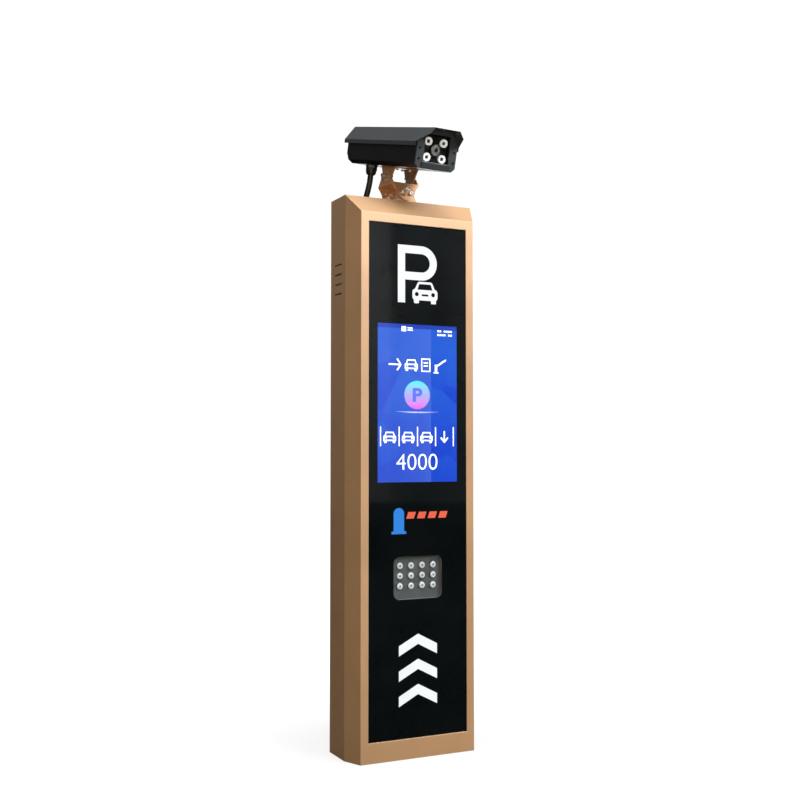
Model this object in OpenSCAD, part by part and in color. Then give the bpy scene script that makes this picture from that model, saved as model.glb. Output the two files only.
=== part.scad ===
// Parking lane terminal: a slim sheet-steel column with a lit glass front, a portrait
// display, a fill lamp, a rear service door, and a plate-reading camera on a tilt bracket.
// +Z is up, the glass front faces -Y, and the origin is on the floor at the centre of the
// four anchor holes. All sizes are in millimetres.

/* [Cabinet] */
// Width across the sides
cab_w = 370; // [350:1:460]
// Depth from the glass front to the back
cab_d = 150; // [140:1:190]
// Height to the flat top
cab_h = 1450; // [1420:5:1800]
// Sheet thickness of the shell
sheet = 2; // [1.2:0.1:2.5]
// Width of the front face between the bevels
face_w = 326; // [320:1:340]
// Depth of the bevels, from the front face to the sides
bevel_depth = 54; // [40:1:60]
// Height of the bevel above the front face
bevel_rise = 50; // [30:1:70]
// Thickness of the floor plate
base_t = 6; // [4:1:10]
// Radius of the four anchor holes
anchor_r = 7; // [5:0.5:9]
// Distance between the anchor holes across the width
anchor_x = 280; // [240:1:300]
// Distance between the anchor holes along the depth
anchor_y = 90; // [70:1:100]
// Length of the cable opening in the floor plate
cable_slot_w = 160; // [80:1:200]
// Depth of the cable opening in the floor plate
cable_slot_d = 70; // [40:1:76]

/* [Glass front] */
// Width of the painted rim at each side of the glass
rim_side = 21; // [18:1:26]
// Height of the painted rim under the glass
rim_bottom = 51; // [30:1:70]
// Height of the painted rim above the glass
rim_top = 24; // [18:1:40]
// Glass thickness
glass_t = 4; // [3:0.5:6]
// How far the glass lies behind the front face
glass_recess = 1; // [0.5:0.1:2]
// Gap between the glass and the rim
glass_gap = 1; // [0.5:0.1:2]
// Thickness of the printed layer behind the glass
print_t = 0.3; // [0.2:0.1:0.5]
// Thickness of the bonding tape behind the glass
tape_t = 0.8; // [0.5:0.1:1.5]
// Width of the ledge that the glass is bonded to
ledge_w = 9; // [7:1:12]

/* [Signs] */
// Height of the parking letter
letter_h = 151; // [120:1:160]
// Distance from the top of the glass to the letter
letter_drop = 54; // [40:1:70]
// Stroke width of the letter
letter_stroke = 21; // [16:1:24]
// Half the width of the chevrons
chevron_half = 55; // [40:1:60]
// Height of the top of the lowest chevron above the floor
chevron_z = 187; // [160:1:200]
// Distance between the chevrons
chevron_pitch = 64; // [58:1:70]
// Number of chevrons
chevron_count = 3; // [1:1:3]
// Height of the barrier pictogram above the floor
mark_z = 612; // [600:1:630]

/* [Display] */
// Width of the picture area
screen_w = 230.4; // [200:0.1:236]
// Height of the picture area
screen_h = 409.8; // [360:0.1:412]
// Distance from the top of the glass to the picture
screen_drop = 261.3; // [255:0.1:280]
// Width of the metal rim around the picture
screen_rim = 12; // [8:0.5:13]
// Depth of the display module
screen_depth = 11; // [9:0.5:20]

/* [Fill lamp] */
// Width of the lamp window
lamp_w = 140; // [120:1:160]
// Height of the lamp window
lamp_h = 110; // [96:1:120]
// Corner radius of the lamp window
lamp_r = 17; // [8:1:25]
// Height of the window's centre above the floor
lamp_z = 459; // [440:1:480]
// Distance from the front of the glass to the lamp panel
lamp_depth = 15; // [12:1:24]
// Diameter of each lamp lens
led_d = 19; // [14:0.5:20]
// Distance between the lenses across
led_pitch_x = 32; // [26:1:33]
// Distance between the lenses upwards
led_pitch_z = 26; // [22:1:28]

/* [Rear door] */
// Width of the back rim beside the door
door_side = 18; // [14:1:26]
// Height of the back rim under the door
door_foot = 60; // [40:1:90]
// Height of the fixed back band above the door
door_head = 126; // [110:1:160]
// Gap around the door
door_gap = 2; // [1.5:0.1:3]
// Depth of the door's folded edge
door_fold = 12; // [10:1:16]
// Radius of the hinge barrels
hinge_r = 5; // [4.5:0.1:6]
// Radius of the hinge pins
hinge_pin_r = 2.5; // [2:0.1:3]
// Radius of the lock barrel
lock_r = 9; // [7:0.5:11]

/* [Tilt bracket] */
// Sheet thickness of the bracket
arm_t = 3; // [2.5:0.1:4]
// Width of the square cross piece
cross_w = 80; // [76:1:90]
// Radius of the ears' round lower ends
ear_r = 29.5; // [28:0.1:29.5]
// Radius of the ears' round upper ends
top_ear_r = 26; // [24:0.5:28]
// Radius of the pivot and clamp screws
screw_r = 3; // [2.5:0.1:3]
// Distance from a pivot to its clamp screws
clamp_r = 17; // [16:0.5:18]
// Sideways distance of the bracket from the middle of the cabinet
bracket_x = -10; // [-30:1:30]
// Distance of the bracket behind the middle of the cabinet
bracket_y = 25; // [10:1:35]
// Height of the roll pivot above the cabinet
roll_rise = 34; // [34:0.5:40]
// Height of the tilt pivot above the cabinet
tilt_rise = 63.5; // [63.5:0.5:72]
// Turn of the camera to one side
pan_turn = 5; // [-20:1:20]
// Downward tilt of the camera
tilt_down = 14.5; // [0:0.5:18]
// Swing allowed by the clamp slots, each way
slot_swing = 31; // [25:1:32]

/* [Camera] */
// Half the width of the camera body
body_half = 61; // [56:1:63]
// Length of the camera body
body_len = 374; // [350:1:380]
// Wall of the camera body
body_wall = 2.5; // [2:0.1:4]
// Height of the body's underside above the tilt pivot
body_rise = 36; // [36:0.5:42]
// Height of the sunshield's flat top above the tilt pivot
roof_z = 138.7; // [136:0.1:150]
// Half the width of the sunshield's flat top
roof_half = 37.7; // [34:0.1:40]
// Half the width of the sunshield at its eaves
eave_half = 65.5; // [65:0.1:72]
// Height of the eaves above the tilt pivot
eave_z = 100.5; // [98:0.1:102]
// Height of the vertical skirt under the eaves
skirt_h = 10.5; // [6:0.5:16]
// Length of the sunshield
roof_len = 434; // [420:1:450]
// Sheet thickness of the sunshield
roof_t = 1.5; // [1:0.1:2]
// Half the width of the window
window_half = 38.3; // [36:0.1:40]
// Height of the window
window_h = 70; // [64:1:72]
// Radius of the lens barrel
lens_r = 16; // [13:0.5:17]
// Radius of the four flash lamps
flash_r = 10.5; // [8:0.5:11]

/* [Lead] */
// Diameter of the camera lead
lead_d = 16; // [10:1:16]

/* [Fits] */
// Radial clearance where one piece turns on another
run_fit = 0.05; // [0.02:0.01:0.1]
// Gap between pieces that move past each other
gap = 0.3; // [0.2:0.05:0.5]
// Clearance of a bolt in its hole
bolt_gap = 0.3; // [0.1:0.05:0.6]

/* [Hidden] */
$fn = 48;
steel = "silver";
gold = "#c8a47c";
black = "#202223";
grey = "#5c6163";

cab_half = cab_w / 2;
face_half = face_w / 2;
y_face = -cab_d / 2;
y_back = cab_d / 2;
y_bevel = y_face + bevel_depth;
face_h = cab_h - bevel_rise;
side_slope = (cab_half - face_half) / bevel_depth;
top_slope = bevel_rise / bevel_depth;

open_w = face_w - 2 * rim_side;
open_z = rim_bottom;
open_h = face_h - rim_bottom - rim_top;
glass_top = open_z + open_h;
y_glass = y_face + glass_recess;
y_print = y_glass + glass_t;
y_tape = y_print + print_t;
y_ledge = y_tape + tape_t;
y_ledge_back = y_ledge + sheet;
tape_w = ledge_w - glass_gap - 1;
y_module = y_tape + gap;

letter_x = -58;
letter_z = glass_top - letter_drop - letter_h;
bowl_h = 90.5;
bowl_x = 11;
car_x = 21;
car_w = 74;
car_h = 57;
chevron_rise = 28.5;
chevron_t = 26;

screen_z = glass_top - screen_drop - screen_h;
screen_mid = screen_z + screen_h / 2;
module_w = screen_w + 2 * screen_rim;
module_h = screen_h + 2 * screen_rim;
panel_t = 1.6;
y_module_back = y_module + screen_depth;
strap_t = 2;
strap_h = 20;

tray_t = 1.2;
tray_depth = 24;
upper_tray_w = 150;
upper_tray_h = letter_h + 26;
upper_tray_z = letter_z - 13;
lower_tray_w = 2 * chevron_half + 24;
lower_tray_z = chevron_z - chevron_rise - chevron_t - 18;
lower_tray_h = (chevron_count - 1) * chevron_pitch + chevron_rise + chevron_t + 36;

y_lamp = y_glass + lamp_depth;
led_z = lamp_z + 4.5;
lamp_wall = 1.5;
y_lamp_board = y_lamp + lamp_wall + 2;
board_t = 1.6;

door_w = cab_w - 2 * door_side;
door_h = cab_h - door_foot - door_head;
leaf_w = door_w - 2 * door_gap;
leaf_h = door_h - 2 * door_gap;
leaf_z = door_foot + door_gap;
door_half = door_w / 2;
seal_t = 2.7;
y_fold = y_back - sheet - door_fold;
y_seat = y_fold - gap - seal_t;
seat_w = 12;
hinge_x = door_half + 4;
hinge_y = y_back + hinge_r + 0.4;
hinge_h = 60;
hinge_zs = [leaf_z + 140, leaf_z + leaf_h - 200];
hinge_leaf_t = 2.5;
knuckle_h = (hinge_h - 2 * gap) / 3;
lock_x = -(door_half - 32);
lock_z = leaf_z + leaf_h / 2;
cam_t = 3;
cam_reach = 26;
y_cam = y_seat - sheet - gap - cam_t;

plate_y = y_bevel + 1;
plate_z = 120;
plate_h = 1020;
plate_flange = 26;
y_gear = plate_y + sheet;
controller_x = -70;
controller_z = 1010;
controller_w = 190;
controller_h = 110;
controller_d = 42;
socket_h = 15;
supply_w = 115;
supply_h = 215;
supply_d = 30;
supply_z = 560;
rail_z = 300;
rail_h = 35;
rail_d = 7.5;
y_rail = y_gear + rail_d;
breaker_x = -120;
breaker_w = 36;
breaker_h = 82;
breaker_d = 56;
toggle_r = 7;
toggle_y = y_rail + breaker_d - 4;
terminal_x = 20;
terminal_w = 84;
earth_z = 200;

vent_y = (y_bevel + y_back) / 2 - 1;
vent_zs = [for (i = [0:3]) cab_h - 178 - 25.5 * i];
vent_mid = cab_h - 178 - 38.25;
vent_len = 48;
vent_h = 4;
fan_w = 60;
fan_d = 25;
fan_bore = 28;
fan_hole = 25.5;
fan_hub = 12;
fan_y = vent_y - 3;
fan_shaft_r = 1.5;
speaker_r = 39;

pan_r = 5;
washer_t = 0.5;
base_z = washer_t + 0.1;
cross_z = (roll_rise + tilt_rise) / 2 - 0.25;
roll_drop = cross_z - roll_rise;
tilt_lift = tilt_rise - cross_z;
roll_tip_r = roll_drop - arm_t / 2 - 0.7;
tilt_tip_r = tilt_lift - arm_t / 2 - 0.7;
neck_half = cross_w / 2 - arm_t - 0.5;
clamp_angle = 52.5;
head_r = 5;
head_h = 6;
nut_h = 5;
plate_bolt_r = 2.5;
plate_bolt = 20;
saddle_z = body_rise - arm_t;

body_front = -172;
body_back = body_front + body_len;
corner = 10;
cap_t = 3;
frame_t = 6;
frame_half = body_half - 1;
window_z = body_rise + 18;
lens_z = window_z + 32;
lens_len = 55;
y_pane = body_front - 3;
flash_x = 23;
flash_z = 20;
roof_front = -roof_len / 2;
camera_gland = [-37, 92];
gland_x = -70;
gland_z = cab_h - 65;
gland_r = 16;
lead_gap = 0.5;

// Route of the camera lead: out of the camera gland, round behind the cabinet, in
// through the gland in the fixed back band and down to the controller
LEAD = [
    [-53.5, 98, 1585], [-54, 103.5, 1563], [-54.5, 109, 1542], [-55.5, 115, 1520],
    [-59, 126, 1490], [-64, 142, 1460], [-69, 153, 1430], [-70, 149, 1405],
    [-70, 131, 1389], [-70, 105, 1385], [-70, 80, 1385], [-70, 58, 1385],
    [-70, 34, 1380], [-70, 14, 1364], [-70, 4, 1336], [-70, 1, 1300],
    [-70, 1, 1240], [-70, 1, 1180], [-70, 1, 1125]
];

// ---------- shared helpers ----------

// An outline in X and Z, drawn out along Y from y
module upright(y, depth) {
    translate([0, y + depth, 0]) rotate([90, 0, 0]) linear_extrude(depth) children();
}

// An outline in Y and Z, drawn out along X from x
module sideways(x, width) {
    translate([x, 0, 0]) rotate([90, 0, 90]) linear_extrude(width) children();
}

module rod_y(x, y, z, r, len) {
    translate([x, y + len, z]) rotate([90, 0, 0]) cylinder(r = r, h = len);
}

module rod_x(x, y, z, r, len) {
    translate([x, y, z]) rotate([0, 90, 0]) cylinder(r = r, h = len);
}

module box(x, y, z, w, d, h) {
    translate([x - w / 2, y, z]) cube([w, d, h]);
}

module rounded(w, h, r) {
    square([w - 2 * r, h], center = true);
    square([w, h - 2 * r], center = true);
    for (sx = [-1, 1], sz = [-1, 1])
        translate([sx * (w / 2 - r), sz * (h / 2 - r)]) circle(r);
}

module hex_nut(r, h) {
    difference() {
        cylinder(r = r * 1.95, h = h, $fn = 6);
        translate([0, 0, -1]) cylinder(r = r + run_fit, h = h + 2);
    }
}

// Socket-head screw along +Z: the head is above z = 0 and the shank runs down
module socket_screw(r, len, r_head, h_head) {
    difference() {
        union() {
            cylinder(r = r_head, h = h_head);
            translate([0, 0, -len]) cylinder(r = r, h = len + 1);
        }
        translate([0, 0, h_head * 0.45]) cylinder(r = r_head * 0.55, h = h_head, $fn = 6);
    }
}

module bracket_at(rise) {
    translate([bracket_x, bracket_y, cab_h + rise]) rotate([0, 0, pan_turn]) children();
}

module camera_at() {
    bracket_at(tilt_rise) rotate([tilt_down, 0, 0]) children();
}

// Where a screw stands on its clamp circle, for angle a in the ear's plane
function on_clamp(a) = [clamp_r * cos(a), clamp_r * sin(a)];

// ---------- cabinet shell ----------

// The bevelled front half of the cabinet, from y0 to y1, shrunk by a wall of thickness t
module bevel_prism(t, y0, y1, z0) {
    function half_at(y) =
        face_half + side_slope * (y - y_face) - t * sqrt(1 + side_slope * side_slope);
    function top_at(y) =
        face_h + top_slope * (y - y_face) - t * sqrt(1 + top_slope * top_slope);
    intersection() {
        translate([0, 0, z0]) linear_extrude(2 * cab_h)
            polygon([[-half_at(y0), y0], [half_at(y0), y0], [half_at(y1), y1], [-half_at(y1), y1]]);
        sideways(-cab_w, 2 * cab_w)
            polygon([[y0, z0], [y0, top_at(y0)], [y1, top_at(y1)], [y1, z0]]);
    }
}

module front_frame() {
    color(gold) {
        difference() {
            bevel_prism(0, y_face, y_bevel, 0);
            bevel_prism(sheet, y_face + sheet, y_bevel + 1, -1);
            box(0, y_face - 1, open_z, open_w, sheet + 2, open_h);
        }
        difference() {
            box(0, y_face, open_z - sheet, open_w + 2 * sheet, y_ledge_back - y_face, open_h + 2 * sheet);
            box(0, y_face - 1, open_z, open_w, y_ledge - y_face + 1, open_h);
            box(0, y_face, open_z + ledge_w, open_w - 2 * ledge_w, cab_d, open_h - 2 * ledge_w);
        }
    }
}

module vent_slots(side) {
    for (z = vent_zs) {
        translate([side * cab_half, vent_y, z]) cube([4 * sheet, vent_len - vent_h, vent_h], center = true);
        for (s = [-1, 1])
            rod_x(side * cab_half - 2 * sheet, vent_y + s * (vent_len - vent_h) / 2, z, vent_h / 2, 4 * sheet);
    }
}

module side_wrap() {
    color(gold) difference() {
        box(0, y_bevel, 0, cab_w, y_back - y_bevel, cab_h);
        box(0, y_bevel - 1, -1, cab_w - 2 * sheet, cab_d, cab_h - sheet + 1);
        vent_slots(-1);
        vent_slots(1);
        translate([bracket_x, bracket_y, cab_h - sheet - 1]) cylinder(r = pan_r + bolt_gap, h = sheet + 2);
    }
}

module back_frame() {
    inner_w = cab_w - 2 * sheet;
    color(gold) difference() {
        union() {
            box(0, y_back - sheet, 0, inner_w, sheet, cab_h - sheet);
            box(0, y_seat - sheet, door_foot - sheet, door_w + 2 * sheet, y_back - y_seat + sheet, door_h + 2 * sheet);
        }
        box(0, y_seat, door_foot, door_w, cab_d, door_h);
        box(0, y_seat - cab_d, door_foot + seat_w, door_w - 2 * seat_w, 2 * cab_d, door_h - 2 * seat_w);
        rod_y(gland_x, y_back - sheet - 1, gland_z, lead_d / 2 + 3, sheet + 2);
    }
}

module anchor_spots() {
    for (sx = [-1, 1], sy = [-1, 1])
        translate([sx * anchor_x / 2, sy * anchor_y / 2, 0]) children();
}

module base_plate() {
    clear = 0.05;
    color(steel) difference() {
        union() {
            bevel_prism(sheet + clear, y_face + sheet + clear, y_bevel, 0);
            box(0, y_bevel, 0, cab_w - 2 * (sheet + clear), y_back - sheet - clear - y_bevel, base_t);
        }
        translate([-cab_w, -cab_w, base_t]) cube([2 * cab_w, 2 * cab_w, 2 * cab_h]);
        anchor_spots() translate([0, 0, -1]) cylinder(r = anchor_r, h = base_t + 2);
        translate([0, 0, -1]) linear_extrude(base_t + 2) rounded(cable_slot_w, cable_slot_d, 10);
    }
}

// Rubber edge around the cable opening, with a lip on the floor plate
module cable_grommet() {
    lip = 4;
    rim = 3;
    color(black) difference() {
        union() {
            translate([0, 0, 0.5]) linear_extrude(base_t + 1) rounded(cable_slot_w - 0.2, cable_slot_d - 0.2, 9.9);
            translate([0, 0, base_t]) linear_extrude(2.5) rounded(cable_slot_w + 2 * lip, cable_slot_d + 2 * lip, 14);
        }
        translate([0, 0, -1]) linear_extrude(base_t + 6) rounded(cable_slot_w - 2 * rim, cable_slot_d - 2 * rim, 7);
    }
}

// ---------- glass front ----------

module front_glass() {
    color([0.1, 0.1, 0.12, 0.4])
        box(0, y_glass, open_z + glass_gap, open_w - 2 * glass_gap, glass_t, open_h - 2 * glass_gap);
}

module letter_outline() {
    outer = bowl_h / 2;
    top = letter_z + letter_h;
    translate([letter_x, letter_z]) square([letter_stroke, letter_h]);
    difference() {
        union() {
            translate([letter_x, top - bowl_h]) square([bowl_x - letter_x, bowl_h]);
            translate([bowl_x, top - outer]) circle(outer);
        }
        translate([letter_x + letter_stroke, top - bowl_h + letter_stroke])
            square([bowl_x - letter_x - letter_stroke, bowl_h - 2 * letter_stroke]);
        translate([bowl_x, top - outer]) circle(outer - letter_stroke);
    }
}

// Front view of a car: roof, windscreen, body with headlamps and grille, two wheels
module car_outline() {
    half = car_w / 2;
    translate([car_x, letter_z]) difference() {
        union() {
            polygon([[-half + 6, 34], [-half + 15, car_h - 4], [-half + 19, car_h],
                [half - 19, car_h], [half - 15, car_h - 4], [half - 6, 34]]);
            translate([0, 23]) rounded(car_w, 30, 9);
            for (s = [-1, 1]) translate([s * (half - 12), 6]) rounded(15, 12, 3);
        }
        polygon([[-half + 15, 36], [-half + 20, car_h - 6], [half - 20, car_h - 6], [half - 15, 36]]);
        for (s = [-1, 1]) translate([s * (half - 13), 24]) circle(5.5);
        translate([0, 22]) rounded(20, 5, 2);
    }
}

// The bowl ends above the car, so the two never touch
module sign_outline() {
    difference() {
        letter_outline();
        translate([letter_x + letter_stroke, letter_z - 1]) square([car_w, car_h + 1]);
    }
    difference() {
        car_outline();
        translate([letter_x - 1, letter_z - 1]) square([letter_stroke + 1.5, car_h + 2]);
    }
}

module chevron_outline() {
    polygon([[0, 0], [chevron_half, -chevron_rise], [chevron_half, -chevron_rise - chevron_t],
        [0, -chevron_t], [-chevron_half, -chevron_rise - chevron_t], [-chevron_half, -chevron_rise]]);
}

module chevron_outlines() {
    for (i = [0:chevron_count - 1]) translate([0, chevron_z + i * chevron_pitch]) chevron_outline();
}

// A raised lane barrier, drawn as a plain pictogram: the post and the striped arm
module post_outline() {
    translate([-70, mark_z - 34]) {
        square([30, 46]);
        translate([15, 46]) circle(15);
        translate([-6, -6]) square([42, 7]);
    }
}

module arm_outline() {
    for (i = [0:3]) translate([-34 + 31 * i, mark_z - 1]) polygon([[0, 0], [22, 0], [28, 17], [6, 17]]);
}

module screen_outline() {
    translate([-screen_w / 2, screen_z]) square([screen_w, screen_h]);
}

module glass_print() {
    color("black") upright(y_print, print_t) difference() {
        translate([-open_w / 2 + glass_gap, open_z + glass_gap])
            square([open_w - 2 * glass_gap, open_h - 2 * glass_gap]);
        sign_outline();
        chevron_outlines();
        post_outline();
        arm_outline();
        screen_outline();
        translate([0, lamp_z]) rounded(lamp_w, lamp_h, lamp_r);
    }
}

module sign_print() {
    color("white") upright(y_print, print_t) {
        sign_outline();
        chevron_outlines();
    }
}

module mark_post() {
    color("steelblue") upright(y_print, print_t) post_outline();
}

module mark_arm() {
    color("coral") upright(y_print, print_t) arm_outline();
}

module glass_tape() {
    inner = ledge_w - 1;
    color(black) difference() {
        box(0, y_tape, open_z + glass_gap, open_w - 2 * glass_gap, tape_t, open_h - 2 * glass_gap);
        box(0, y_tape - 1, open_z + inner, open_w - 2 * inner, tape_t + 2, open_h - 2 * inner);
    }
}

// ---------- display ----------

module screen_panel() {
    over = screen_rim - 6;
    color("royalblue")
        box(0, y_module, screen_z - over, screen_w + 2 * over, panel_t, screen_h + 2 * over);
}

module screen_frame() {
    pocket = screen_rim - 5.7;
    low = screen_z - screen_rim;
    color(steel) difference() {
        box(0, y_module, low, module_w, screen_depth, module_h);
        box(0, y_module - 1, screen_z - pocket, screen_w + 2 * pocket, panel_t + 1, screen_h + 2 * pocket);
    }
}

// Two folded straps hold the display module to the ledge behind the glass
module screen_straps() {
    foot = open_w / 2 + 1;
    knee = module_w / 2 + 1;
    color(steel) for (z = [screen_z + 60, screen_z + screen_h - 80])
        translate([0, 0, z]) linear_extrude(strap_h) for (s = [-1, 1]) scale([s, 1])
            polygon([[0, y_module_back], [knee, y_module_back], [knee, y_ledge_back],
                [foot, y_ledge_back], [foot, y_ledge_back + strap_t],
                [knee + strap_t, y_ledge_back + strap_t], [knee + strap_t, y_module_back + strap_t],
                [0, y_module_back + strap_t]]);
}

module screen_board() {
    post = 4;
    y = y_module_back + post;
    color("darkgreen") {
        box(0, y, screen_mid - 50, 130, board_t, 100);
        for (sx = [-1, 1], sz = [-1, 1]) rod_y(sx * 58, y_module_back, screen_mid + sz * 43, 3, post);
        box(-20, y + board_t, screen_mid - 15, 34, 4, 34);
        box(40, y + board_t, screen_mid - 45, 36, 7, 12);
        box(-40, y + board_t, screen_mid + 30, 30, 5, 12);
    }
}

// ---------- lit signs ----------

module sign_tray(z, w, h) {
    foot = open_w / 2 + 1;
    difference() {
        union() {
            box(0, y_module, z, w, tray_depth, h);
            box(0, y_ledge_back, z + h / 2 - 12, 2 * foot, tray_t, 24);
        }
        box(0, y_module - 1, z + tray_t, w - 2 * tray_t, tray_depth - tray_t + 1, h - 2 * tray_t);
    }
}

module sign_trays() {
    color("white") {
        sign_tray(upper_tray_z, upper_tray_w, upper_tray_h);
        sign_tray(lower_tray_z, lower_tray_w, lower_tray_h);
    }
}

module led_sheet(z, w, h, rows, columns) {
    y = y_module + tray_depth - tray_t - board_t;
    box(0, y, z, w, board_t, h);
    for (i = [0:columns - 1], k = [0:rows - 1])
        box((i + 0.5) * w / columns - w / 2, y - 1.2, z + (k + 0.5) * h / rows - 3, 6, 1.2, 6);
}

module sign_leds() {
    margin = 8;
    color("ivory") {
        led_sheet(upper_tray_z + margin, upper_tray_w - 2 * margin, upper_tray_h - 2 * margin, 6, 5);
        led_sheet(lower_tray_z + margin, lower_tray_w - 2 * margin, lower_tray_h - 2 * margin, 6, 4);
    }
}

// ---------- fill lamp ----------

module led_spots() {
    for (i = [-1.5:1.5], k = [-1:1]) translate([i * led_pitch_x, 0, led_z + k * led_pitch_z]) children();
}

module lamp_tray() {
    foot = open_w / 2 + 1;
    lip = 8;
    color(grey) difference() {
        union() {
            upright(y_module, 1.5) translate([0, lamp_z]) rounded(lamp_w + 2 * lip, lamp_h + 2 * lip, lamp_r + lip);
            upright(y_module, y_lamp + lamp_wall - y_module)
                translate([0, lamp_z]) rounded(lamp_w + 2 * lamp_wall, lamp_h + 2 * lamp_wall, lamp_r + lamp_wall);
            box(0, y_ledge_back, lamp_z - 15, 2 * foot, lamp_wall, 30);
        }
        upright(y_module - 1, y_lamp - y_module + 1) translate([0, lamp_z]) rounded(lamp_w, lamp_h, lamp_r);
        led_spots() rod_y(0, y_lamp - 1, 0, led_d / 2 + gap, lamp_wall + 2);
    }
}

module lamp_board() {
    color("seagreen") {
        box(0, y_lamp_board, lamp_z - lamp_h / 2 + 4, lamp_w - 8, board_t, lamp_h - 8);
        for (sx = [-1, 1], sz = [-1, 1])
            rod_y(sx * (lamp_w / 2 - 10), y_lamp + lamp_wall, lamp_z + sz * (lamp_h / 2 - 10), 2.5,
                y_lamp_board - y_lamp - lamp_wall);
    }
}

// Each lens is a short collar with a front that slopes in twice
module lamp_lenses() {
    collar = 2;
    r = led_d / 2;
    reach = y_lamp_board - y_lamp + collar;
    color("whitesmoke") led_spots() translate([0, y_lamp_board, 0]) rotate([90, 0, 0]) {
        cylinder(r = r, h = reach);
        translate([0, 0, reach]) cylinder(r1 = r, r2 = r * 0.75, h = 2.5);
        translate([0, 0, reach + 2.5]) cylinder(r1 = r * 0.75, r2 = r * 0.3, h = 1.5);
    }
}

module lamp_heat_sink() {
    y = y_lamp_board + board_t;
    color("gainsboro") {
        box(0, y, lamp_z - 45, 120, 3, 90);
        for (i = [-5:5]) box(i * 11, y, lamp_z - 45, 2, 15, 90);
    }
}

// ---------- equipment plate ----------

module equipment_plate() {
    half = cab_half - sheet;
    color(steel) difference() {
        union() {
            box(0, plate_y, plate_z, 2 * half, sheet, plate_h);
            for (s = [-1, 1])
                box(s * (half - sheet / 2), plate_y, plate_z, sheet, plate_flange, plate_h);
        }
        for (z = [plate_z + 90, plate_z + 380, plate_z + 830])
            upright(plate_y - 1, sheet + 2) translate([110, z]) rounded(50, 70, 8);
    }
}

module controller() {
    y = y_gear;
    color(grey) difference() {
        union() {
            box(controller_x, y, controller_z, controller_w, controller_d, controller_h);
            for (i = [-6:6]) box(controller_x + i * 13, y + controller_d, controller_z + 8, 4, 4, controller_h - 16);
            translate([LEAD[18][0], LEAD[18][1], controller_z + controller_h])
                cylinder(r = lead_d / 2 + 4, h = socket_h);
        }
        translate([LEAD[18][0], LEAD[18][1], controller_z + controller_h + socket_h - 10])
            cylinder(r = lead_d / 2 + gap, h = 20);
        for (i = [0:3]) box(controller_x - 60 + 34 * i, y + 12, controller_z - 1, 16, 14, 8);
    }
}

module power_supply() {
    lip = 14;
    color("lightgray") difference() {
        box(0, y_gear, supply_z, supply_w, supply_d, supply_h);
        box(0, y_gear + 12, supply_z - 1, supply_w - 6, supply_d, lip + 1);
        for (i = [-4:4], k = [0:6])
            rod_y(i * 11, y_gear + supply_d - 1, supply_z + 60 + k * 20, 3, 2);
    }
    color("black") for (i = [-4:4]) box(i * 11, y_gear + 12.2, supply_z + 1, 9, 9, lip - 2);
}

module din_rail() {
    h = rail_h / 2;
    color(steel) sideways(-140, 280) translate([y_gear, rail_z])
        polygon([[0, -12], [0, 12], [rail_d - 1, 12], [rail_d - 1, h], [rail_d, h], [rail_d, 11],
            [1, 11], [1, -11], [rail_d, -11], [rail_d, -h], [rail_d - 1, -h], [rail_d - 1, -12]]);
}

module breaker_case() {
    nose = breaker_d - 4;
    color("white") difference() {
        union() {
            box(breaker_x, y_rail, rail_z - breaker_h / 2, breaker_w, breaker_d - 16, breaker_h);
            box(breaker_x, y_rail, rail_z - 23, breaker_w, nose, 46);
        }
        rod_x(breaker_x - breaker_w / 4, toggle_y, rail_z, toggle_r + gap, breaker_w / 2);
        rod_x(breaker_x - breaker_w / 2 - 1, toggle_y, rail_z, 1.5 + run_fit, breaker_w + 2);
        box(breaker_x, toggle_y, rail_z - 16, breaker_w / 2, 20, 32);
    }
}

module breaker_toggle() {
    slack = 0.6;
    w = breaker_w / 2 - slack;
    color("darkslateblue") {
        rod_x(breaker_x - w / 2, toggle_y, rail_z, toggle_r, w);
        rod_x(breaker_x - breaker_w / 2 + 2, toggle_y, rail_z, 1.5, breaker_w - 4);
        translate([0, toggle_y, rail_z]) rotate([25, 0, 0]) box(breaker_x, 0, -2.5, w - 2, 15, 5);
    }
}

module terminal_blocks() {
    count = 7;
    pitch = terminal_w / count;
    color("olivedrab") for (i = [0:count - 1]) translate([terminal_x + pitch * i, y_rail, rail_z]) difference() {
        union() {
            translate([0.2, 0, -26]) cube([pitch - 0.4, 28, 52]);
            translate([0.2, 0, -18]) cube([pitch - 0.4, 36, 36]);
        }
        for (s = [-1, 1]) rod_y(pitch / 2, 22, s * 22, 2.5, 10);
    }
}

module earth_bar() {
    stand = 10;
    color("goldenrod") difference() {
        union() {
            box(0, y_gear + stand, earth_z - 6, 120, 5, 12);
            for (s = [-1, 1]) box(s * 55, y_gear, earth_z - 6, 10, stand + 1, 12);
        }
        for (i = [-4:4]) rod_y(i * 11, y_gear + stand - 1, earth_z, 2, 8);
    }
}

// ---------- speaker and fan behind the side vents ----------

module speaker_at() {
    translate([-cab_half + sheet, vent_y, vent_mid]) rotate([0, 90, 0]) children();
}

module speaker_frame() {
    color(grey) speaker_at() {
        difference() {
            union() {
                cylinder(r = speaker_r, h = 2);
                cylinder(r = speaker_r - 5, h = 8);
                cylinder(r = 20, h = 22);
            }
            translate([0, 0, -1]) cylinder(r = speaker_r - 6.5, h = 8);
            translate([0, 0, -1]) cylinder(r = 17, h = 18);
        }
        translate([0, 0, 22]) cylinder(r = 25, h = 12);
    }
}

module speaker_cone() {
    color(black) speaker_at() rotate_extrude()
        polygon([[0, 10], [7, 11.5], [15, 7.5], [24, 3.4], [28, 2.2], [32.3, 2.2], [32.3, 1],
            [28, 1], [23, 2], [14, 6.3], [7, 10.3], [0, 9]]);
}

module fan_at() {
    translate([cab_half - sheet, fan_y, vent_mid]) rotate([0, -90, 0]) children();
}

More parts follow.
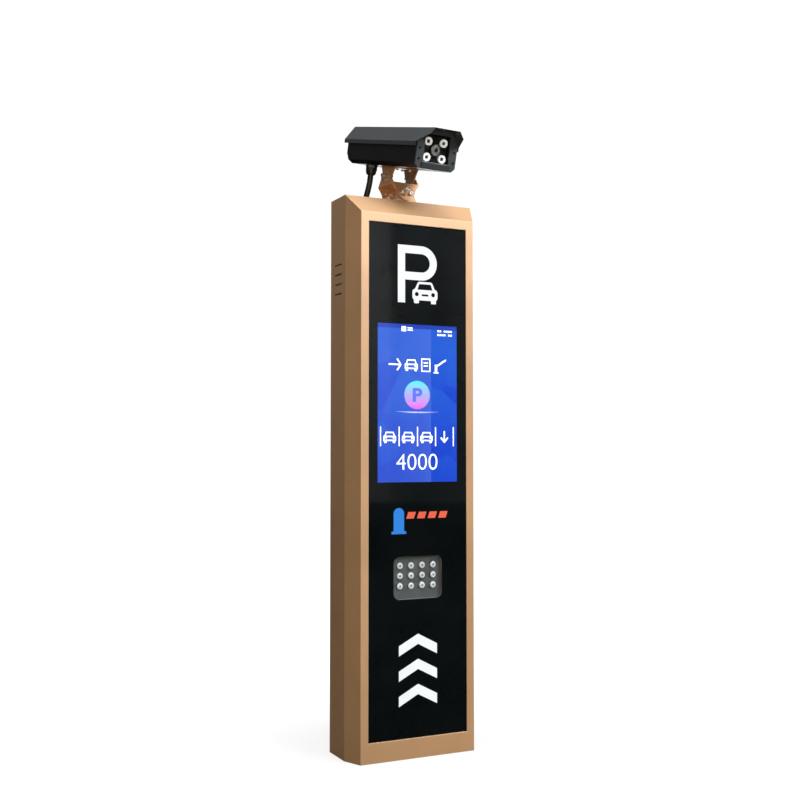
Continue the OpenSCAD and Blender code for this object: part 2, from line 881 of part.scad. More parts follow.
module fan_frame() {
    color(black) fan_at() difference() {
        union() {
            difference() {
                translate([0, 0, fan_d / 2]) cube([fan_w, fan_w, fan_d], center = true);
                translate([0, 0, -1]) cylinder(r = fan_bore, h = fan_d + 2);
            }
            translate([0, 0, fan_d - 5]) cylinder(r = fan_hub, h = 5);
            for (a = [45, 135, 225, 315]) rotate([0, 0, a])
                translate([fan_hub - 1, -2, fan_d - 4]) cube([fan_bore - fan_hub + 3, 4, 4]);
        }
        translate([0, 0, fan_d - 6]) cylinder(r = fan_shaft_r + run_fit, h = 8);
        for (sx = [-1, 1], sy = [-1, 1])
            translate([sx * fan_hole, sy * fan_hole, -1]) cylinder(r = 2.2, h = fan_d + 2);
    }
}

module fan_rotor() {
    depth = fan_d - 5 - 2;
    color("dimgray") fan_at() {
        translate([0, 0, 2]) cylinder(r = fan_hub - 0.5, h = depth - 1);
        translate([0, 0, 3]) cylinder(r = fan_shaft_r, h = fan_d - 4);
        intersection() {
            for (a = [0:360 / 7:359]) rotate([0, 0, a])
                translate([fan_hub + 6, 0, depth / 2 + 1.5]) rotate([48, 0, 0]) cube([26, 16, 1.4], center = true);
            translate([0, 0, 2]) cylinder(r = fan_bore - 1.5, h = depth - 1);
        }
    }
}

// ---------- cable glands and the camera lead ----------

// Gland along +Z: hexagon on the wall at z = 0, dome nut outside, thread and lock nut behind
module gland(wall) {
    bore = lead_d / 2 + lead_gap;
    difference() {
        union() {
            rotate([0, 0, 30]) cylinder(r = gland_r, h = 7, $fn = 6);
            translate([0, 0, -wall - 8]) cylinder(r = bore + 2, h = wall + 14);
        }
        translate([0, 0, -wall - 10]) cylinder(r = bore, h = wall + 40);
    }
    difference() {
        union() {
            translate([0, 0, 7.2]) cylinder(r = gland_r - 1.5, h = 14);
            translate([0, 0, 21]) cylinder(r1 = gland_r - 1.5, r2 = bore + 2.5, h = 7);
            translate([0, 0, 7.2]) cylinder(r = gland_r, h = 9, $fn = 10);
        }
        translate([0, 0, 6]) cylinder(r = bore, h = 40);
    }
    translate([0, 0, -wall - 6]) difference() {
        rotate([0, 0, 30]) cylinder(r = gland_r - 2, h = 6, $fn = 6);
        translate([0, 0, -1]) cylinder(r = bore + 2 + run_fit, h = 8);
    }
}

module cabinet_gland() {
    color(black) translate([gland_x, y_back, gland_z]) rotate([-90, 0, 0]) gland(sheet);
}

module camera_gland_parts() {
    color(black) camera_at() translate([camera_gland[0], camera_gland[1], body_rise])
        rotate([180, 0, 0]) gland(body_wall);
}

// Smooth curve through the lead's points, with a ring of 12 corners at each step
lead_steps = 3;
lead_sides = 12;
lead_last = len(LEAD) - 1;
function lead_node(i) = LEAD[min(max(i, 0), lead_last)];
function lead_curve(i, t) =
    0.5 * (2 * lead_node(i) + t * (lead_node(i + 1) - lead_node(i - 1))
        + t * t * (2 * lead_node(i - 1) - 5 * lead_node(i) + 4 * lead_node(i + 1) - lead_node(i + 2))
        + t * t * t * (3 * lead_node(i) - lead_node(i - 1) - 3 * lead_node(i + 1) + lead_node(i + 2)));
lead_path = [
    for (i = [0:lead_last - 1], k = [0:lead_steps - 1]) lead_curve(i, k / lead_steps),
    LEAD[lead_last]
];
lead_rings = len(lead_path);
function unit(v) = v / norm(v);
function lead_heading(n) =
    unit(lead_path[min(n + 1, lead_rings - 1)] - lead_path[max(n - 1, 0)]);
function lead_ring(n) =
    let (ahead = lead_heading(n), side = unit(cross(ahead, [1, 0, 0])), up = cross(side, ahead))
    [for (k = [0:lead_sides - 1])
        lead_path[n] + lead_d / 2 * (cos(360 * k / lead_sides) * side + sin(360 * k / lead_sides) * up)];

module camera_lead() {
    corners = [for (n = [0:lead_rings - 1]) each lead_ring(n)];
    walls = [for (n = [0:lead_rings - 2], k = [0:lead_sides - 1])
        let (next = (k + 1) % lead_sides, a = n * lead_sides, b = a + lead_sides)
        [a + k, a + next, b + next, b + k]];
    start = [for (k = [lead_sides - 1:-1:0]) k];
    end = [for (k = [0:lead_sides - 1]) (lead_rings - 1) * lead_sides + k];
    color(black) polyhedron(points = corners, faces = concat([start, end], walls));
}

// ---------- cabinet fasteners ----------

module cabinet_fasteners() {
    flange_x = cab_half - 2 * sheet;
    color(steel) {
        for (z = [plate_z + 60, plate_z + plate_h / 2, plate_z + plate_h - 60]) {
            translate([-flange_x, plate_y + 14, z]) rotate([0, 90, 0]) cylinder(r = 5, h = 4, $fn = 6);
            translate([flange_x, plate_y + 14, z]) rotate([0, -90, 0]) cylinder(r = 5, h = 4, $fn = 6);
        }
        for (s = [-1, 1], z = [screen_z + 60, screen_z + screen_h - 80])
            rod_y(s * (open_w / 2 - 5), y_ledge_back + strap_t, z + strap_h / 2, 4, 3);
        for (s = [-1, 1], z = [upper_tray_z + upper_tray_h / 2, lower_tray_z + lower_tray_h / 2])
            rod_y(s * (open_w / 2 - 5), y_ledge_back + tray_t, z, 4, 3);
        for (s = [-1, 1]) rod_y(s * (open_w / 2 - 5), y_ledge_back + lamp_wall, lamp_z, 4, 3);
    }
}

// ---------- rear door ----------

module door_seal() {
    outer_w = door_w - 2 * door_gap;
    outer_h = door_h - 2 * door_gap;
    band = seat_w - door_gap - 1;
    color(black) difference() {
        box(0, y_seat, leaf_z, outer_w, seal_t, outer_h);
        box(0, y_seat - 1, leaf_z + band, outer_w - 2 * band, seal_t + 2, outer_h - 2 * band);
    }
}

module rear_door() {
    color(gold) difference() {
        box(0, y_fold, leaf_z, leaf_w, sheet + door_fold, leaf_h);
        box(0, y_fold - 1, leaf_z + sheet, leaf_w - 2 * sheet, door_fold + 1, leaf_h - 2 * sheet);
        rod_y(lock_x, y_back - sheet - 1, lock_z, lock_r + 0.1, sheet + 2);
        for (k = [0:5]) for (z = [leaf_z + 60, leaf_z + leaf_h - 160])
            upright(y_back - sheet - 1, sheet + 2) translate([0, z + 16 * k]) rounded(150, 4, 1.9);
    }
}

// One hinge's knuckles: the frame carries the outer two, the door the middle one
module knuckle(z, leaf_side) {
    reach = leaf_side > 0 ? cab_half - 2 - hinge_x : hinge_x - (door_half - door_gap - 18);
    step = leaf_side > 0 ? 0 : 0.5;
    translate([hinge_x, 0, z]) difference() {
        union() {
            translate([0, hinge_y, 0]) cylinder(r = hinge_r, h = knuckle_h);
            translate([leaf_side > 0 ? 0 : -6, y_back + step, 0]) cube([6, hinge_leaf_t - step, knuckle_h]);
        }
        translate([0, hinge_y, -1]) cylinder(r = hinge_pin_r + run_fit, h = knuckle_h + 2);
    }
    translate([leaf_side > 0 ? hinge_x + 5 : hinge_x - reach, y_back, z])
        cube([reach - 5, hinge_leaf_t, knuckle_h]);
}

module hinge_frame_leaves() {
    color(steel) for (z = hinge_zs) {
        knuckle(z, 1);
        knuckle(z + 2 * (knuckle_h + gap), 1);
        translate([hinge_x, hinge_y, z]) cylinder(r = hinge_pin_r, h = hinge_h);
    }
}

module hinge_door_leaves() {
    color(steel) for (z = hinge_zs) knuckle(z + knuckle_h + gap, -1);
}

module lock_barrel() {
    nose = 3;
    color(steel) difference() {
        union() {
            rod_y(lock_x, y_back, lock_z, lock_r + 3, nose);
            rod_y(lock_x, y_back - sheet - 9, lock_z, lock_r, sheet + 9);
            translate([lock_x, y_back - sheet, lock_z]) rotate([90, 0, 0])
                cylinder(r = lock_r + 4, h = 4, $fn = 6);
        }
        rod_y(lock_x, y_back - 40, lock_z, 4 + run_fit, 60);
    }
}

// The cam stands upright when it is open and turns a quarter to reach behind the seat
module lock_cam() {
    color("darkgray") {
        rod_y(lock_x, y_cam, lock_z, 4, y_back + 2 - y_cam);
        rod_y(lock_x, y_cam, lock_z, 8, cam_t);
        box(lock_x, y_cam, lock_z, 14, cam_t, cam_reach);
    }
}

// ---------- tilt bracket ----------

module pan_bolt() {
    translate([bracket_x, bracket_y, cab_h]) color(steel) {
        difference() {
            cylinder(r = 20, h = washer_t);
            translate([0, 0, -1]) cylinder(r = pan_r + bolt_gap, h = 3);
        }
        translate([0, 0, base_z + arm_t + 0.1]) cylinder(r = 8.5, h = 6, $fn = 6);
        translate([0, 0, -20]) cylinder(r = pan_r, h = 20 + base_z + arm_t + 1);
        translate([0, 0, -sheet - 2]) difference() {
            cylinder(r = 15, h = 2);
            translate([0, 0, -1]) cylinder(r = pan_r + run_fit, h = 4);
        }
        translate([0, 0, -sheet - 10]) hex_nut(pan_r, 8);
    }
}

// Front and back ears, repeated on both sides of the pivot
module ears_y(y) {
    upright(y, arm_t) children();
    upright(-y - arm_t, arm_t) children();
}

module ears_x(x) {
    sideways(x, arm_t) children();
    sideways(-x - arm_t, arm_t) children();
}

// Holes for the pivot and the two clamp screws of one ear
module ear_holes(side) {
    circle(screw_r + run_fit);
    for (a = [-clamp_angle, clamp_angle]) translate(on_clamp(side * 90 + a)) circle(screw_r + run_fit);
}

function arc_points(centre, r, from, to, first, last, steps) =
    [for (i = [first:last]) centre + r * [cos(from + (to - from) * i / steps), sin(from + (to - from) * i / steps)]];

// Curved slots that let the ear swing past its clamp screws
module ear_slots(side) {
    r = screw_r + gap;
    for (a = [-clamp_angle, clamp_angle]) {
        low = side * 90 + a - slot_swing;
        high = side * 90 + a + slot_swing;
        polygon(concat(
            arc_points([0, 0], clamp_r + r, low, high, 0, 12, 12),
            arc_points(on_clamp(high), r, high, high + 180, 1, 7, 8),
            arc_points([0, 0], clamp_r - r, high, low, 0, 12, 12),
            arc_points(on_clamp(low), r, low + 180, low + 360, 1, 7, 8)
        ));
    }
}

module bracket_base() {
    foot = roll_rise - base_z;
    inner = neck_half - arm_t;
    color(gold) bracket_at(roll_rise) {
        ears_y(inner) difference() {
            union() {
                polygon([[-34, -foot], [34, -foot], [34, -foot + 4], [19, 0], [-19, 0], [-34, -foot + 4]]);
                circle(roll_tip_r);
            }
            ear_holes(-1);
        }
        translate([0, 0, -foot]) difference() {
            translate([-34, -neck_half, 0]) cube([68, 2 * neck_half, arm_t]);
            translate([0, 0, -1]) cylinder(r = pan_r + run_fit, h = arm_t + 2);
        }
    }
}

// Screws through both ears of a joint, with their nuts inside
module clamp_screws_y(y, side) {
    grip = 2 * arm_t + 0.5 + gap;
    for (s = [-1, 1], a = [0, 1, 2]) {
        spot = a == 0 ? [0, 0] : on_clamp(side * 90 + (a == 1 ? -clamp_angle : clamp_angle));
        translate([spot[0], s * (y + gap), spot[1]]) rotate([-s * 90, 0, 0]) {
            socket_screw(screw_r, grip + nut_h, head_r, head_h);
            translate([0, 0, -grip - nut_h]) hex_nut(screw_r, nut_h);
        }
    }
}

module roll_screws() {
    color(steel) bracket_at(roll_rise) clamp_screws_y(cross_w / 2, -1);
}

module bracket_cross() {
    half = cross_w / 2;
    color(gold) bracket_at(cross_z) {
        translate([-half, -half, -arm_t / 2]) cube([cross_w, cross_w, arm_t]);
        translate([0, 0, -roll_drop]) ears_y(half - arm_t) difference() {
            union() {
                polygon([[-half, roll_drop], [half, roll_drop], [ear_r - 0.5, -4], [0.5 - ear_r, -4]]);
                intersection() {
                    circle(ear_r);
                    translate([-half, -half]) square([cross_w, half]);
                }
            }
            circle(screw_r + run_fit);
            ear_slots(-1);
        }
        translate([0, 0, tilt_lift]) ears_x(half - arm_t) difference() {
            union() {
                polygon([[-half, -tilt_lift], [half, -tilt_lift], [top_ear_r - 1, 5], [1 - top_ear_r, 5]]);
                intersection() {
                    circle(top_ear_r);
                    translate([-half, 0]) square([cross_w, half]);
                }
            }
            circle(screw_r + run_fit);
            ear_slots(1);
        }
    }
}

module bracket_top() {
    inner = neck_half - arm_t;
    color(gold) camera_at() {
        ears_x(inner) difference() {
            union() {
                polygon([[-neck_half, saddle_z + 1], [neck_half, saddle_z + 1], [24, 10],
                    [11, -2], [-11, -2], [-24, 10]]);
                circle(tilt_tip_r);
            }
            ear_holes(1);
        }
        difference() {
            translate([-neck_half, -neck_half, saddle_z]) cube([2 * neck_half, 2 * neck_half, arm_t]);
            for (sx = [-1, 1], sy = [-1, 1])
                translate([sx * plate_bolt, sy * plate_bolt, saddle_z - 1])
                    cylinder(r = plate_bolt_r + bolt_gap, h = arm_t + 2);
        }
    }
}

module camera_screws() {
    grip = arm_t + body_wall;
    color(steel) camera_at() {
        rotate([0, 0, 90]) clamp_screws_y(cross_w / 2, 1);
        for (sx = [-1, 1], sy = [-1, 1])
            translate([sx * plate_bolt, sy * plate_bolt, saddle_z]) rotate([180, 0, 0]) {
                socket_screw(plate_bolt_r, grip + 5, 4.2, 5);
                translate([0, 0, -grip - 4]) hex_nut(plate_bolt_r, 4);
            }
        for (sx = [-1, 1], z = [body_rise + 24, eave_z - 14])
            translate([sx * (frame_half - 8), body_front - frame_t, z]) rotate([90, 0, 0])
                socket_screw(1.5, frame_t - 1, 2.8, 1.8);
    }
}

// ---------- camera housing ----------

// Where the sloping roof line stands at height z, moved inwards by t
function slope_x(z, t) =
    let (run = (eave_half - roof_half) / (roof_z - eave_z))
    roof_half + (roof_z - z) * run - t * sqrt(1 + run * run);

// Right half of the body's cross-section, moved inwards by t
function half_section(half, t) =
    let (shade = roof_t + gap,
        top = roof_z - roof_t - t,
        run = (eave_half - roof_half) / (roof_z - eave_z),
        knee = roof_z - (half - t - roof_half + (shade + t) * sqrt(1 + run * run)) / run)
    [[half - corner - (sqrt(2) - 1) * t, body_rise + t], [half - t, body_rise + corner + (sqrt(2) - 1) * t],
        [half - t, knee], [slope_x(top, shade + t), top]];

function mirrored(points) = [for (i = [len(points) - 1:-1:0]) [-points[i][0], points[i][1]]];

module body_outline(half, t) {
    right = half_section(half, t);
    polygon(concat(right, mirrored(right)));
}

// The cut that slopes the lower rear corner of the body
module rear_cut() {
    sideways(-body_half - 1, 2 * body_half + 2)
        polygon([[body_back - 18, body_rise - 1], [body_back + 20, body_rise - 1],
            [body_back + 20, body_rise + 42], [body_back - 4, body_rise + 22]]);
}

module housing_body() {
    color(black) camera_at() difference() {
        upright(body_front, body_len - cap_t) body_outline(body_half, 0);
        upright(body_front - 1, body_len - cap_t - 20) body_outline(body_half, body_wall);
        upright(body_front, body_len) translate([-body_half + 10, body_rise + 50])
            square([2 * body_half - 20, 30]);
        rear_cut();
        for (sx = [-1, 1], sy = [-1, 1])
            translate([sx * plate_bolt, sy * plate_bolt, body_rise - 1])
                cylinder(r = plate_bolt_r + bolt_gap, h = body_wall + 2);
        translate([camera_gland[0], camera_gland[1], body_rise - 1])
            cylinder(r = lead_d / 2 + lead_gap + 2.3, h = body_wall + 2);
    }
}

module rear_cap() {
    color(black) camera_at() difference() {
        union() {
            upright(body_back - cap_t, cap_t) body_outline(body_half, 0);
            upright(body_back - cap_t - 6, 7) translate([0, body_rise + 65]) rounded(2 * body_half - 21, 29, 3);
        }
        rear_cut();
        for (sx = [-1, 1], z = [body_rise + 58, body_rise + 72])
            rod_y(sx * (body_half - 8), body_back - 1.5, z, 2, 2);
    }
}

// Right half of the folded sunshield's outline, moved inwards by t
function half_roof(t) =
    [[eave_half - t, eave_z - skirt_h], [eave_half - t, eave_z - t * 0.4], [slope_x(roof_z - t, t), roof_z - t]];

module sunshield() {
    bend_z = (roof_z + eave_z) / 2 + 1.8;
    lip_y = roof_front + 41;
    color(black) camera_at() difference() {
        upright(roof_front, roof_len) polygon(concat(half_roof(0), mirrored(half_roof(0))));
        upright(roof_front - 1, roof_len + 2) {
            polygon(concat(half_roof(roof_t), mirrored(half_roof(roof_t))));
            translate([-eave_half + roof_t, eave_z - skirt_h - 5]) square([2 * (eave_half - roof_t), 8]);
        }
        sideways(-eave_half - 1, 2 * eave_half + 2)
            polygon([[roof_front - 5, bend_z], [roof_front, bend_z], [lip_y, eave_z],
                [lip_y, eave_z - skirt_h - 2], [roof_front - 5, eave_z - skirt_h - 2]]);
    }
}

module window_frame() {
    sill = 42;
    y = body_front - frame_t;
    color(black) camera_at() {
        difference() {
            upright(y, frame_t) body_outline(frame_half, 0);
            upright(y - 1, frame_t + 2) translate([-window_half, window_z]) square([2 * window_half, window_h]);
            upright(y_pane, 10) translate([-window_half - 3, window_z - 3])
                square([2 * window_half + 6, window_h + 4]);
            for (sx = [-1, 1], z = [body_rise + 24, eave_z - 14])
                rod_y(sx * (frame_half - 8), y - 1, z, 1.5 + run_fit, frame_t);
        }
        difference() {
            sideways(-sill, 2 * sill)
                polygon([[y + 1, window_z], [y - 6, window_z - 2], [y - 2, body_rise + 1], [y + 1, body_rise + 1]]);
            for (s = [-1, 1]) translate([s * sill, y - 4, body_rise + 1]) rotate([0, 45, 0])
                cube([6, 20, 6], center = true);
        }
    }
}

module window_pane() {
    color([0.6, 0.7, 0.75, 0.4]) camera_at() upright(y_pane + 0.1, 2.8)
        translate([-window_half - 2.8, window_z - 2.8]) square([2 * window_half + 5.6, window_h + 3.6]);
}

module lens_barrel() {
    y = body_front + 3.4;
    color(black) camera_at() difference() {
        union() {
            rod_y(0, y, lens_z, lens_r, lens_len);
            rod_y(0, y + 14, lens_z, lens_r + 1.5, 12);
        }
        translate([0, y, lens_z]) rotate([-90, 0, 0]) translate([0, 0, -0.5])
            cylinder(r1 = lens_r - 1.5, r2 = lens_r - 6, h = 9);
        rod_y(0, y + 8, lens_z, lens_r - 6, 8);
    }
}

module lens_glass() {
    r = lens_r - 6;
    y = body_front + 3.4 + 9;
    color("slategray") camera_at() translate([0, y + 5, lens_z]) rotate([90, 0, 0]) {
        cylinder(r = r, h = 5);
        translate([0, 0, 4.5]) cylinder(r1 = r, r2 = r * 0.6, h = 2);
        translate([0, 0, 6.5]) cylinder(r1 = r * 0.6, r2 = r * 0.2, h = 0.8);
    }
}

module flash_spots() {
    for (sx = [-1, 1], sz = [-1, 1]) translate([sx * flash_x, 0, lens_z + sz * flash_z]) children();
}

module flash_board() {
    y = body_front + 8;
    color("darkslategray") camera_at() difference() {
        upright(y, board_t) translate([-36, window_z - 2]) square([72, window_h]);
        rod_y(0, y - 1, lens_z, lens_r + gap, board_t + 2);
        flash_spots() rod_y(0, y - 1, 0, 2, board_t + 2);
    }
}

// Bright cups, open to the front, with a small emitter at the bottom of each
module flash_lamps() {
    y = body_front + 8;
    depth = 5;
    color("white") camera_at() flash_spots() translate([0, y, 0]) rotate([90, 0, 0]) {
        difference() {
            cylinder(r = flash_r, h = depth);
            translate([0, 0, 1]) cylinder(r1 = 4, r2 = flash_r - 1, h = depth);
        }
        cylinder(r = 2.6, h = 2.4);
    }
}

module camera_module() {
    y = body_front + 3.4 + lens_len;
    floor_z = body_rise + body_wall;
    color(grey) camera_at() {
        box(0, y, lens_z - 28, 56, 60, 56);
        box(0, y + 4, floor_z, 56, 3, lens_z - 28 - floor_z + 1);
        box(0, y + 4, floor_z, 56, 50, 3);
        for (s = [-1, 1])
            box(s * 30, body_front + 8 + board_t, lens_z - 3, 4, lens_len - 8 - board_t + 4.4, 6);
        for (s = [-1, 1])
            box(s * 29, y + 1, lens_z - 3, 6, 8, 6);
    }
}

front_frame();
side_wrap();
back_frame();
base_plate();
cable_grommet();
front_glass();
glass_print();
sign_print();
mark_post();
mark_arm();
glass_tape();
screen_panel();
screen_frame();
screen_straps();
screen_board();
sign_trays();
sign_leds();
lamp_tray();
lamp_board();
lamp_lenses();
lamp_heat_sink();
equipment_plate();
controller();
power_supply();
din_rail();
breaker_case();
breaker_toggle();
terminal_blocks();
earth_bar();
speaker_frame();
speaker_cone();
fan_frame();
fan_rotor();
cabinet_gland();
camera_lead();
cabinet_fasteners();
door_seal();
rear_door();
hinge_frame_leaves();
hinge_door_leaves();
lock_barrel();
lock_cam();
pan_bolt();
bracket_base();
roll_screws();
bracket_cross();
bracket_top();
camera_screws();
housing_body();
rear_cap();
sunshield();
window_frame();
window_pane();
lens_barrel();
lens_glass();
flash_board();
flash_lamps();
camera_module();
camera_gland_parts();
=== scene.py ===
import bpy, bmesh, math
from mathutils import Matrix, Vector


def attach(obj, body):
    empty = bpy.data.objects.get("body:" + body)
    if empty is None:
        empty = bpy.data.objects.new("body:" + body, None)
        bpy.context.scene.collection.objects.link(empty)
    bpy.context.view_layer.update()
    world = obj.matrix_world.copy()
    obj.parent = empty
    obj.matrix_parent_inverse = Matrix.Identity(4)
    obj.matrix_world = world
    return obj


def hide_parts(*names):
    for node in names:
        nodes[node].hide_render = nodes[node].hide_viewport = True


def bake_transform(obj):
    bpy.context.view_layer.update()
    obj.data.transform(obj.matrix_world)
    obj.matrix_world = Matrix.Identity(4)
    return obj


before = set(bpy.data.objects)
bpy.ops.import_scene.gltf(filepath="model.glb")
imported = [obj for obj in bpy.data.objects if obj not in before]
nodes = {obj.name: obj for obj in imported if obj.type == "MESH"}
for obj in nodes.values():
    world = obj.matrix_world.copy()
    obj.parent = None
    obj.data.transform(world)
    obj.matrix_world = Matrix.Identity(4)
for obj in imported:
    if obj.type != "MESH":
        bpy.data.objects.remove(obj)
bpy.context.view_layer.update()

# ---- Studio -------------------------------------------------------------------------
# A pale floor in an all-white room, with a soft light high on the right of the front,
# a weak warm one low on the left, and a camera at chest height, left of the column.

camera_data = bpy.data.cameras.new("viewpoint")
camera_data.lens = 49.6
camera_data.sensor_width = 36
viewpoint = bpy.data.objects.new("viewpoint", camera_data)
viewpoint.location = (-1.2936, -2.6300, 0.7868)
viewpoint.rotation_euler = (math.radians(90 + 2.62), 0, math.radians(-25.89))
bpy.context.scene.collection.objects.link(viewpoint)
bpy.context.scene.camera = viewpoint
bpy.context.scene.view_settings.view_transform = "Standard"


def softbox(name, place, target, width, height, power, tint=(1, 1, 1)):
    """Hangs a rectangular light at a place and turns it to a target."""
    lamp = bpy.data.lights.new(name, "AREA")
    lamp.shape = "RECTANGLE"
    lamp.size = width
    lamp.size_y = height
    lamp.energy = power
    lamp.color = tint
    holder = bpy.data.objects.new(name, lamp)
    holder.location = place
    holder.rotation_euler = (Vector(target) - Vector(place)).to_track_quat("-Z", "Y").to_euler()
    bpy.context.scene.collection.objects.link(holder)


softbox("key_light", (1.7, -3.1, 3.6), (0, 0, 0.7), 2.2, 1.6, 230, tint=(0.96, 1.0, 1.08))
softbox("left_light", (-1.7, -3.9, 0.8), (0, 0, 0.35), 1.2, 1.6, 54, tint=(1.0, 0.85, 0.66))
softbox("top_light", (-0.6, -0.5, 4.4), (0, 0, 1.4), 1.8, 1.8, 95)
softbox("back_light", (1.2, 3.6, 2.4), (0, 0, 0.8), 1.8, 2.0, 75)


def fill(tree, node, inputs):
    """Fills a node's inputs: a socket is linked to, and anything else is a constant."""
    for key, value in inputs.items():
        if isinstance(value, bpy.types.NodeSocket):
            tree.links.new(value, node.inputs[key])
        else:
            node.inputs[key].default_value = value


def add_node(tree, kind, inputs, **settings):
    """Adds a node, named by what follows ShaderNode in its type."""
    node = tree.nodes.new("ShaderNode" + kind)
    for key, value in settings.items():
        setattr(node, key, value)
    fill(tree, node, inputs)
    return node


def ranged(tree, value, from_min, from_max, to_min=0.0, to_max=1.0):
    """A value carried from one range to another, and held at its ends."""
    return add_node(tree, "MapRange", {"Value": value, "From Min": from_min, "From Max": from_max,
                                       "To Min": to_min, "To Max": to_max}).outputs["Result"]


def reckoned(tree, operation, *terms):
    """The result of a sum on two or three values."""
    return add_node(tree, "Math", dict(enumerate(terms)), operation=operation).outputs["Value"]


def mixed(tree, factor, first, second, **settings):
    """One value or colour going over to another."""
    return add_node(tree, "Mix", {"Factor": factor, "A": first, "B": second}, **settings).outputs["Result"]


def noise(tree, vector, scale, detail=2, **settings):
    """A cloudy value between 0 and 1."""
    return add_node(tree, "TexNoise", {"Scale": scale, "Detail": detail, "Vector": vector}, **settings).outputs["Fac"]


room = bpy.data.worlds.new("white_room")
bpy.context.scene.world = room
room.use_nodes = True
air = room.node_tree
facing = add_node(air, "TexCoord", {}).outputs["Generated"]
way = add_node(air, "SeparateXYZ", {"Vector": facing}).outputs

# A dim ramp up the walls, uneven like hanging cloth, with a darker foot behind the column
rise_to_light = ranged(air, way["Z"], -0.25, 0.45, 0.03, 0.27)
tall = add_node(air, "Mapping", {"Scale": (7, 7, 0.8), "Vector": facing}).outputs["Vector"]
folds = ranged(air, noise(air, tall, 1.6), 0.35, 0.65, 0.5, 1.5)
hung = reckoned(air, "MULTIPLY", rise_to_light, folds)
behind = ranged(air, way["Y"], 0.1, 0.5)
low_down = ranged(air, way["Z"], 0.45, 0.25)
dimmed = mixed(air, reckoned(air, "MULTIPLY", behind, low_down), hung, 0.04)

# One paler drape on the left, which the glass mirrors
slant = reckoned(air, "DIVIDE", way["X"], way["Y"])
drape = ranged(air, slant, -0.477, -0.473, to_max=0.34)
drape_end = ranged(air, slant, -0.34, -0.38)
hung_high = reckoned(air, "MULTIPLY", reckoned(air, "MULTIPLY", drape, drape_end), ranged(air, way["Z"], -0.12, 0.14))

ray = add_node(air, "LightPath", {}).outputs
room_light = mixed(air, ray["Is Camera Ray"], reckoned(air, "ADD", dimmed, hung_high), 1.05)
fill(air, air.nodes["Background"], {"Strength": room_light, "Color": (1, 1, 1, 1)})


def plain_material(name):
    """A new material, its node tree, its main shader and its place on the object."""
    made = bpy.data.materials.new(name)
    made.use_nodes = True
    tree = made.node_tree
    return made, tree, tree.nodes["Principled BSDF"], add_node(tree, "TexCoord", {}).outputs["Object"]


def ramp_of(tree, value, *stops, **settings):
    """A colour for a value, from stops given as (position, colour)."""
    node = add_node(tree, "ValToRGB", {"Fac": value}, **settings)
    first, *between, last = stops
    for element, (position, colour) in zip(node.color_ramp.elements, (first, last)):
        element.position = position
        element.color = (*colour, 1)
    for position, colour in between:
        node.color_ramp.elements.new(position).color = (*colour, 1)
    return node.outputs["Color"]


def pale_floor():
    """Matt paper with painted light: for the camera it glows, least near the column, which paints a shade round its
    foot, and most far off, where it fades to white; in reflections it is painted nearly black.
    """
    paint, tree, skin, place = plain_material("pale_floor")
    tone = ramp_of(tree, noise(tree, place, 4), (0, (0.14, 0.14, 0.14)), (1, (0.15, 0.15, 0.15)))
    ray = add_node(tree, "LightPath", {}).outputs
    # Painted darkness: seen in any reflection, the floor is nearly black.
    painted_dark_in_reflections = mixed(tree, ray["Is Glossy Ray"], tone, (0.02, 0.02, 0.02, 1), data_type="RGBA")
    reach = add_node(tree, "VectorMath", {0: place}, operation="LENGTH").outputs["Value"]
    # Painted light: a glow seen only by the camera, weaker near the column, so a painted shade rings its foot.
    painted_glow_for_camera = reckoned(tree, "MULTIPLY", ray["Is Camera Ray"], ranged(tree, reach, 0.25, 0.9, 0.80, 1.04))
    fill(tree, skin, {"Base Color": painted_dark_in_reflections, "Roughness": 0.8, "Specular IOR Level": 0.0,
                      "Emission Color": (1, 1, 1, 1), "Emission Strength": painted_glow_for_camera})
    return paint


floor_mesh = bpy.data.meshes.new("floor")
slab = bmesh.new()
bmesh.ops.create_circle(slab, cap_ends=True, segments=96, radius=14)
slab.to_mesh(floor_mesh)
slab.free()
floor_mesh.materials.append(pale_floor())
floor = bpy.data.objects.new("floor", floor_mesh)
bpy.context.scene.collection.objects.link(floor)

# ---- Painted shell ------------------------------------------------------------------
# Front, wrap and rear frame are folded from 2 mm steel sheet, welded, ground flush and
# powder coated in a satin champagne metallic, with a fine flake and slight orange peel.


def paler(colour, times=1.7, more=0.04):
    """The colour of a rubbed edge and of a painted highlight along a fold."""
    return [min(1, c * times + more) for c in colour]


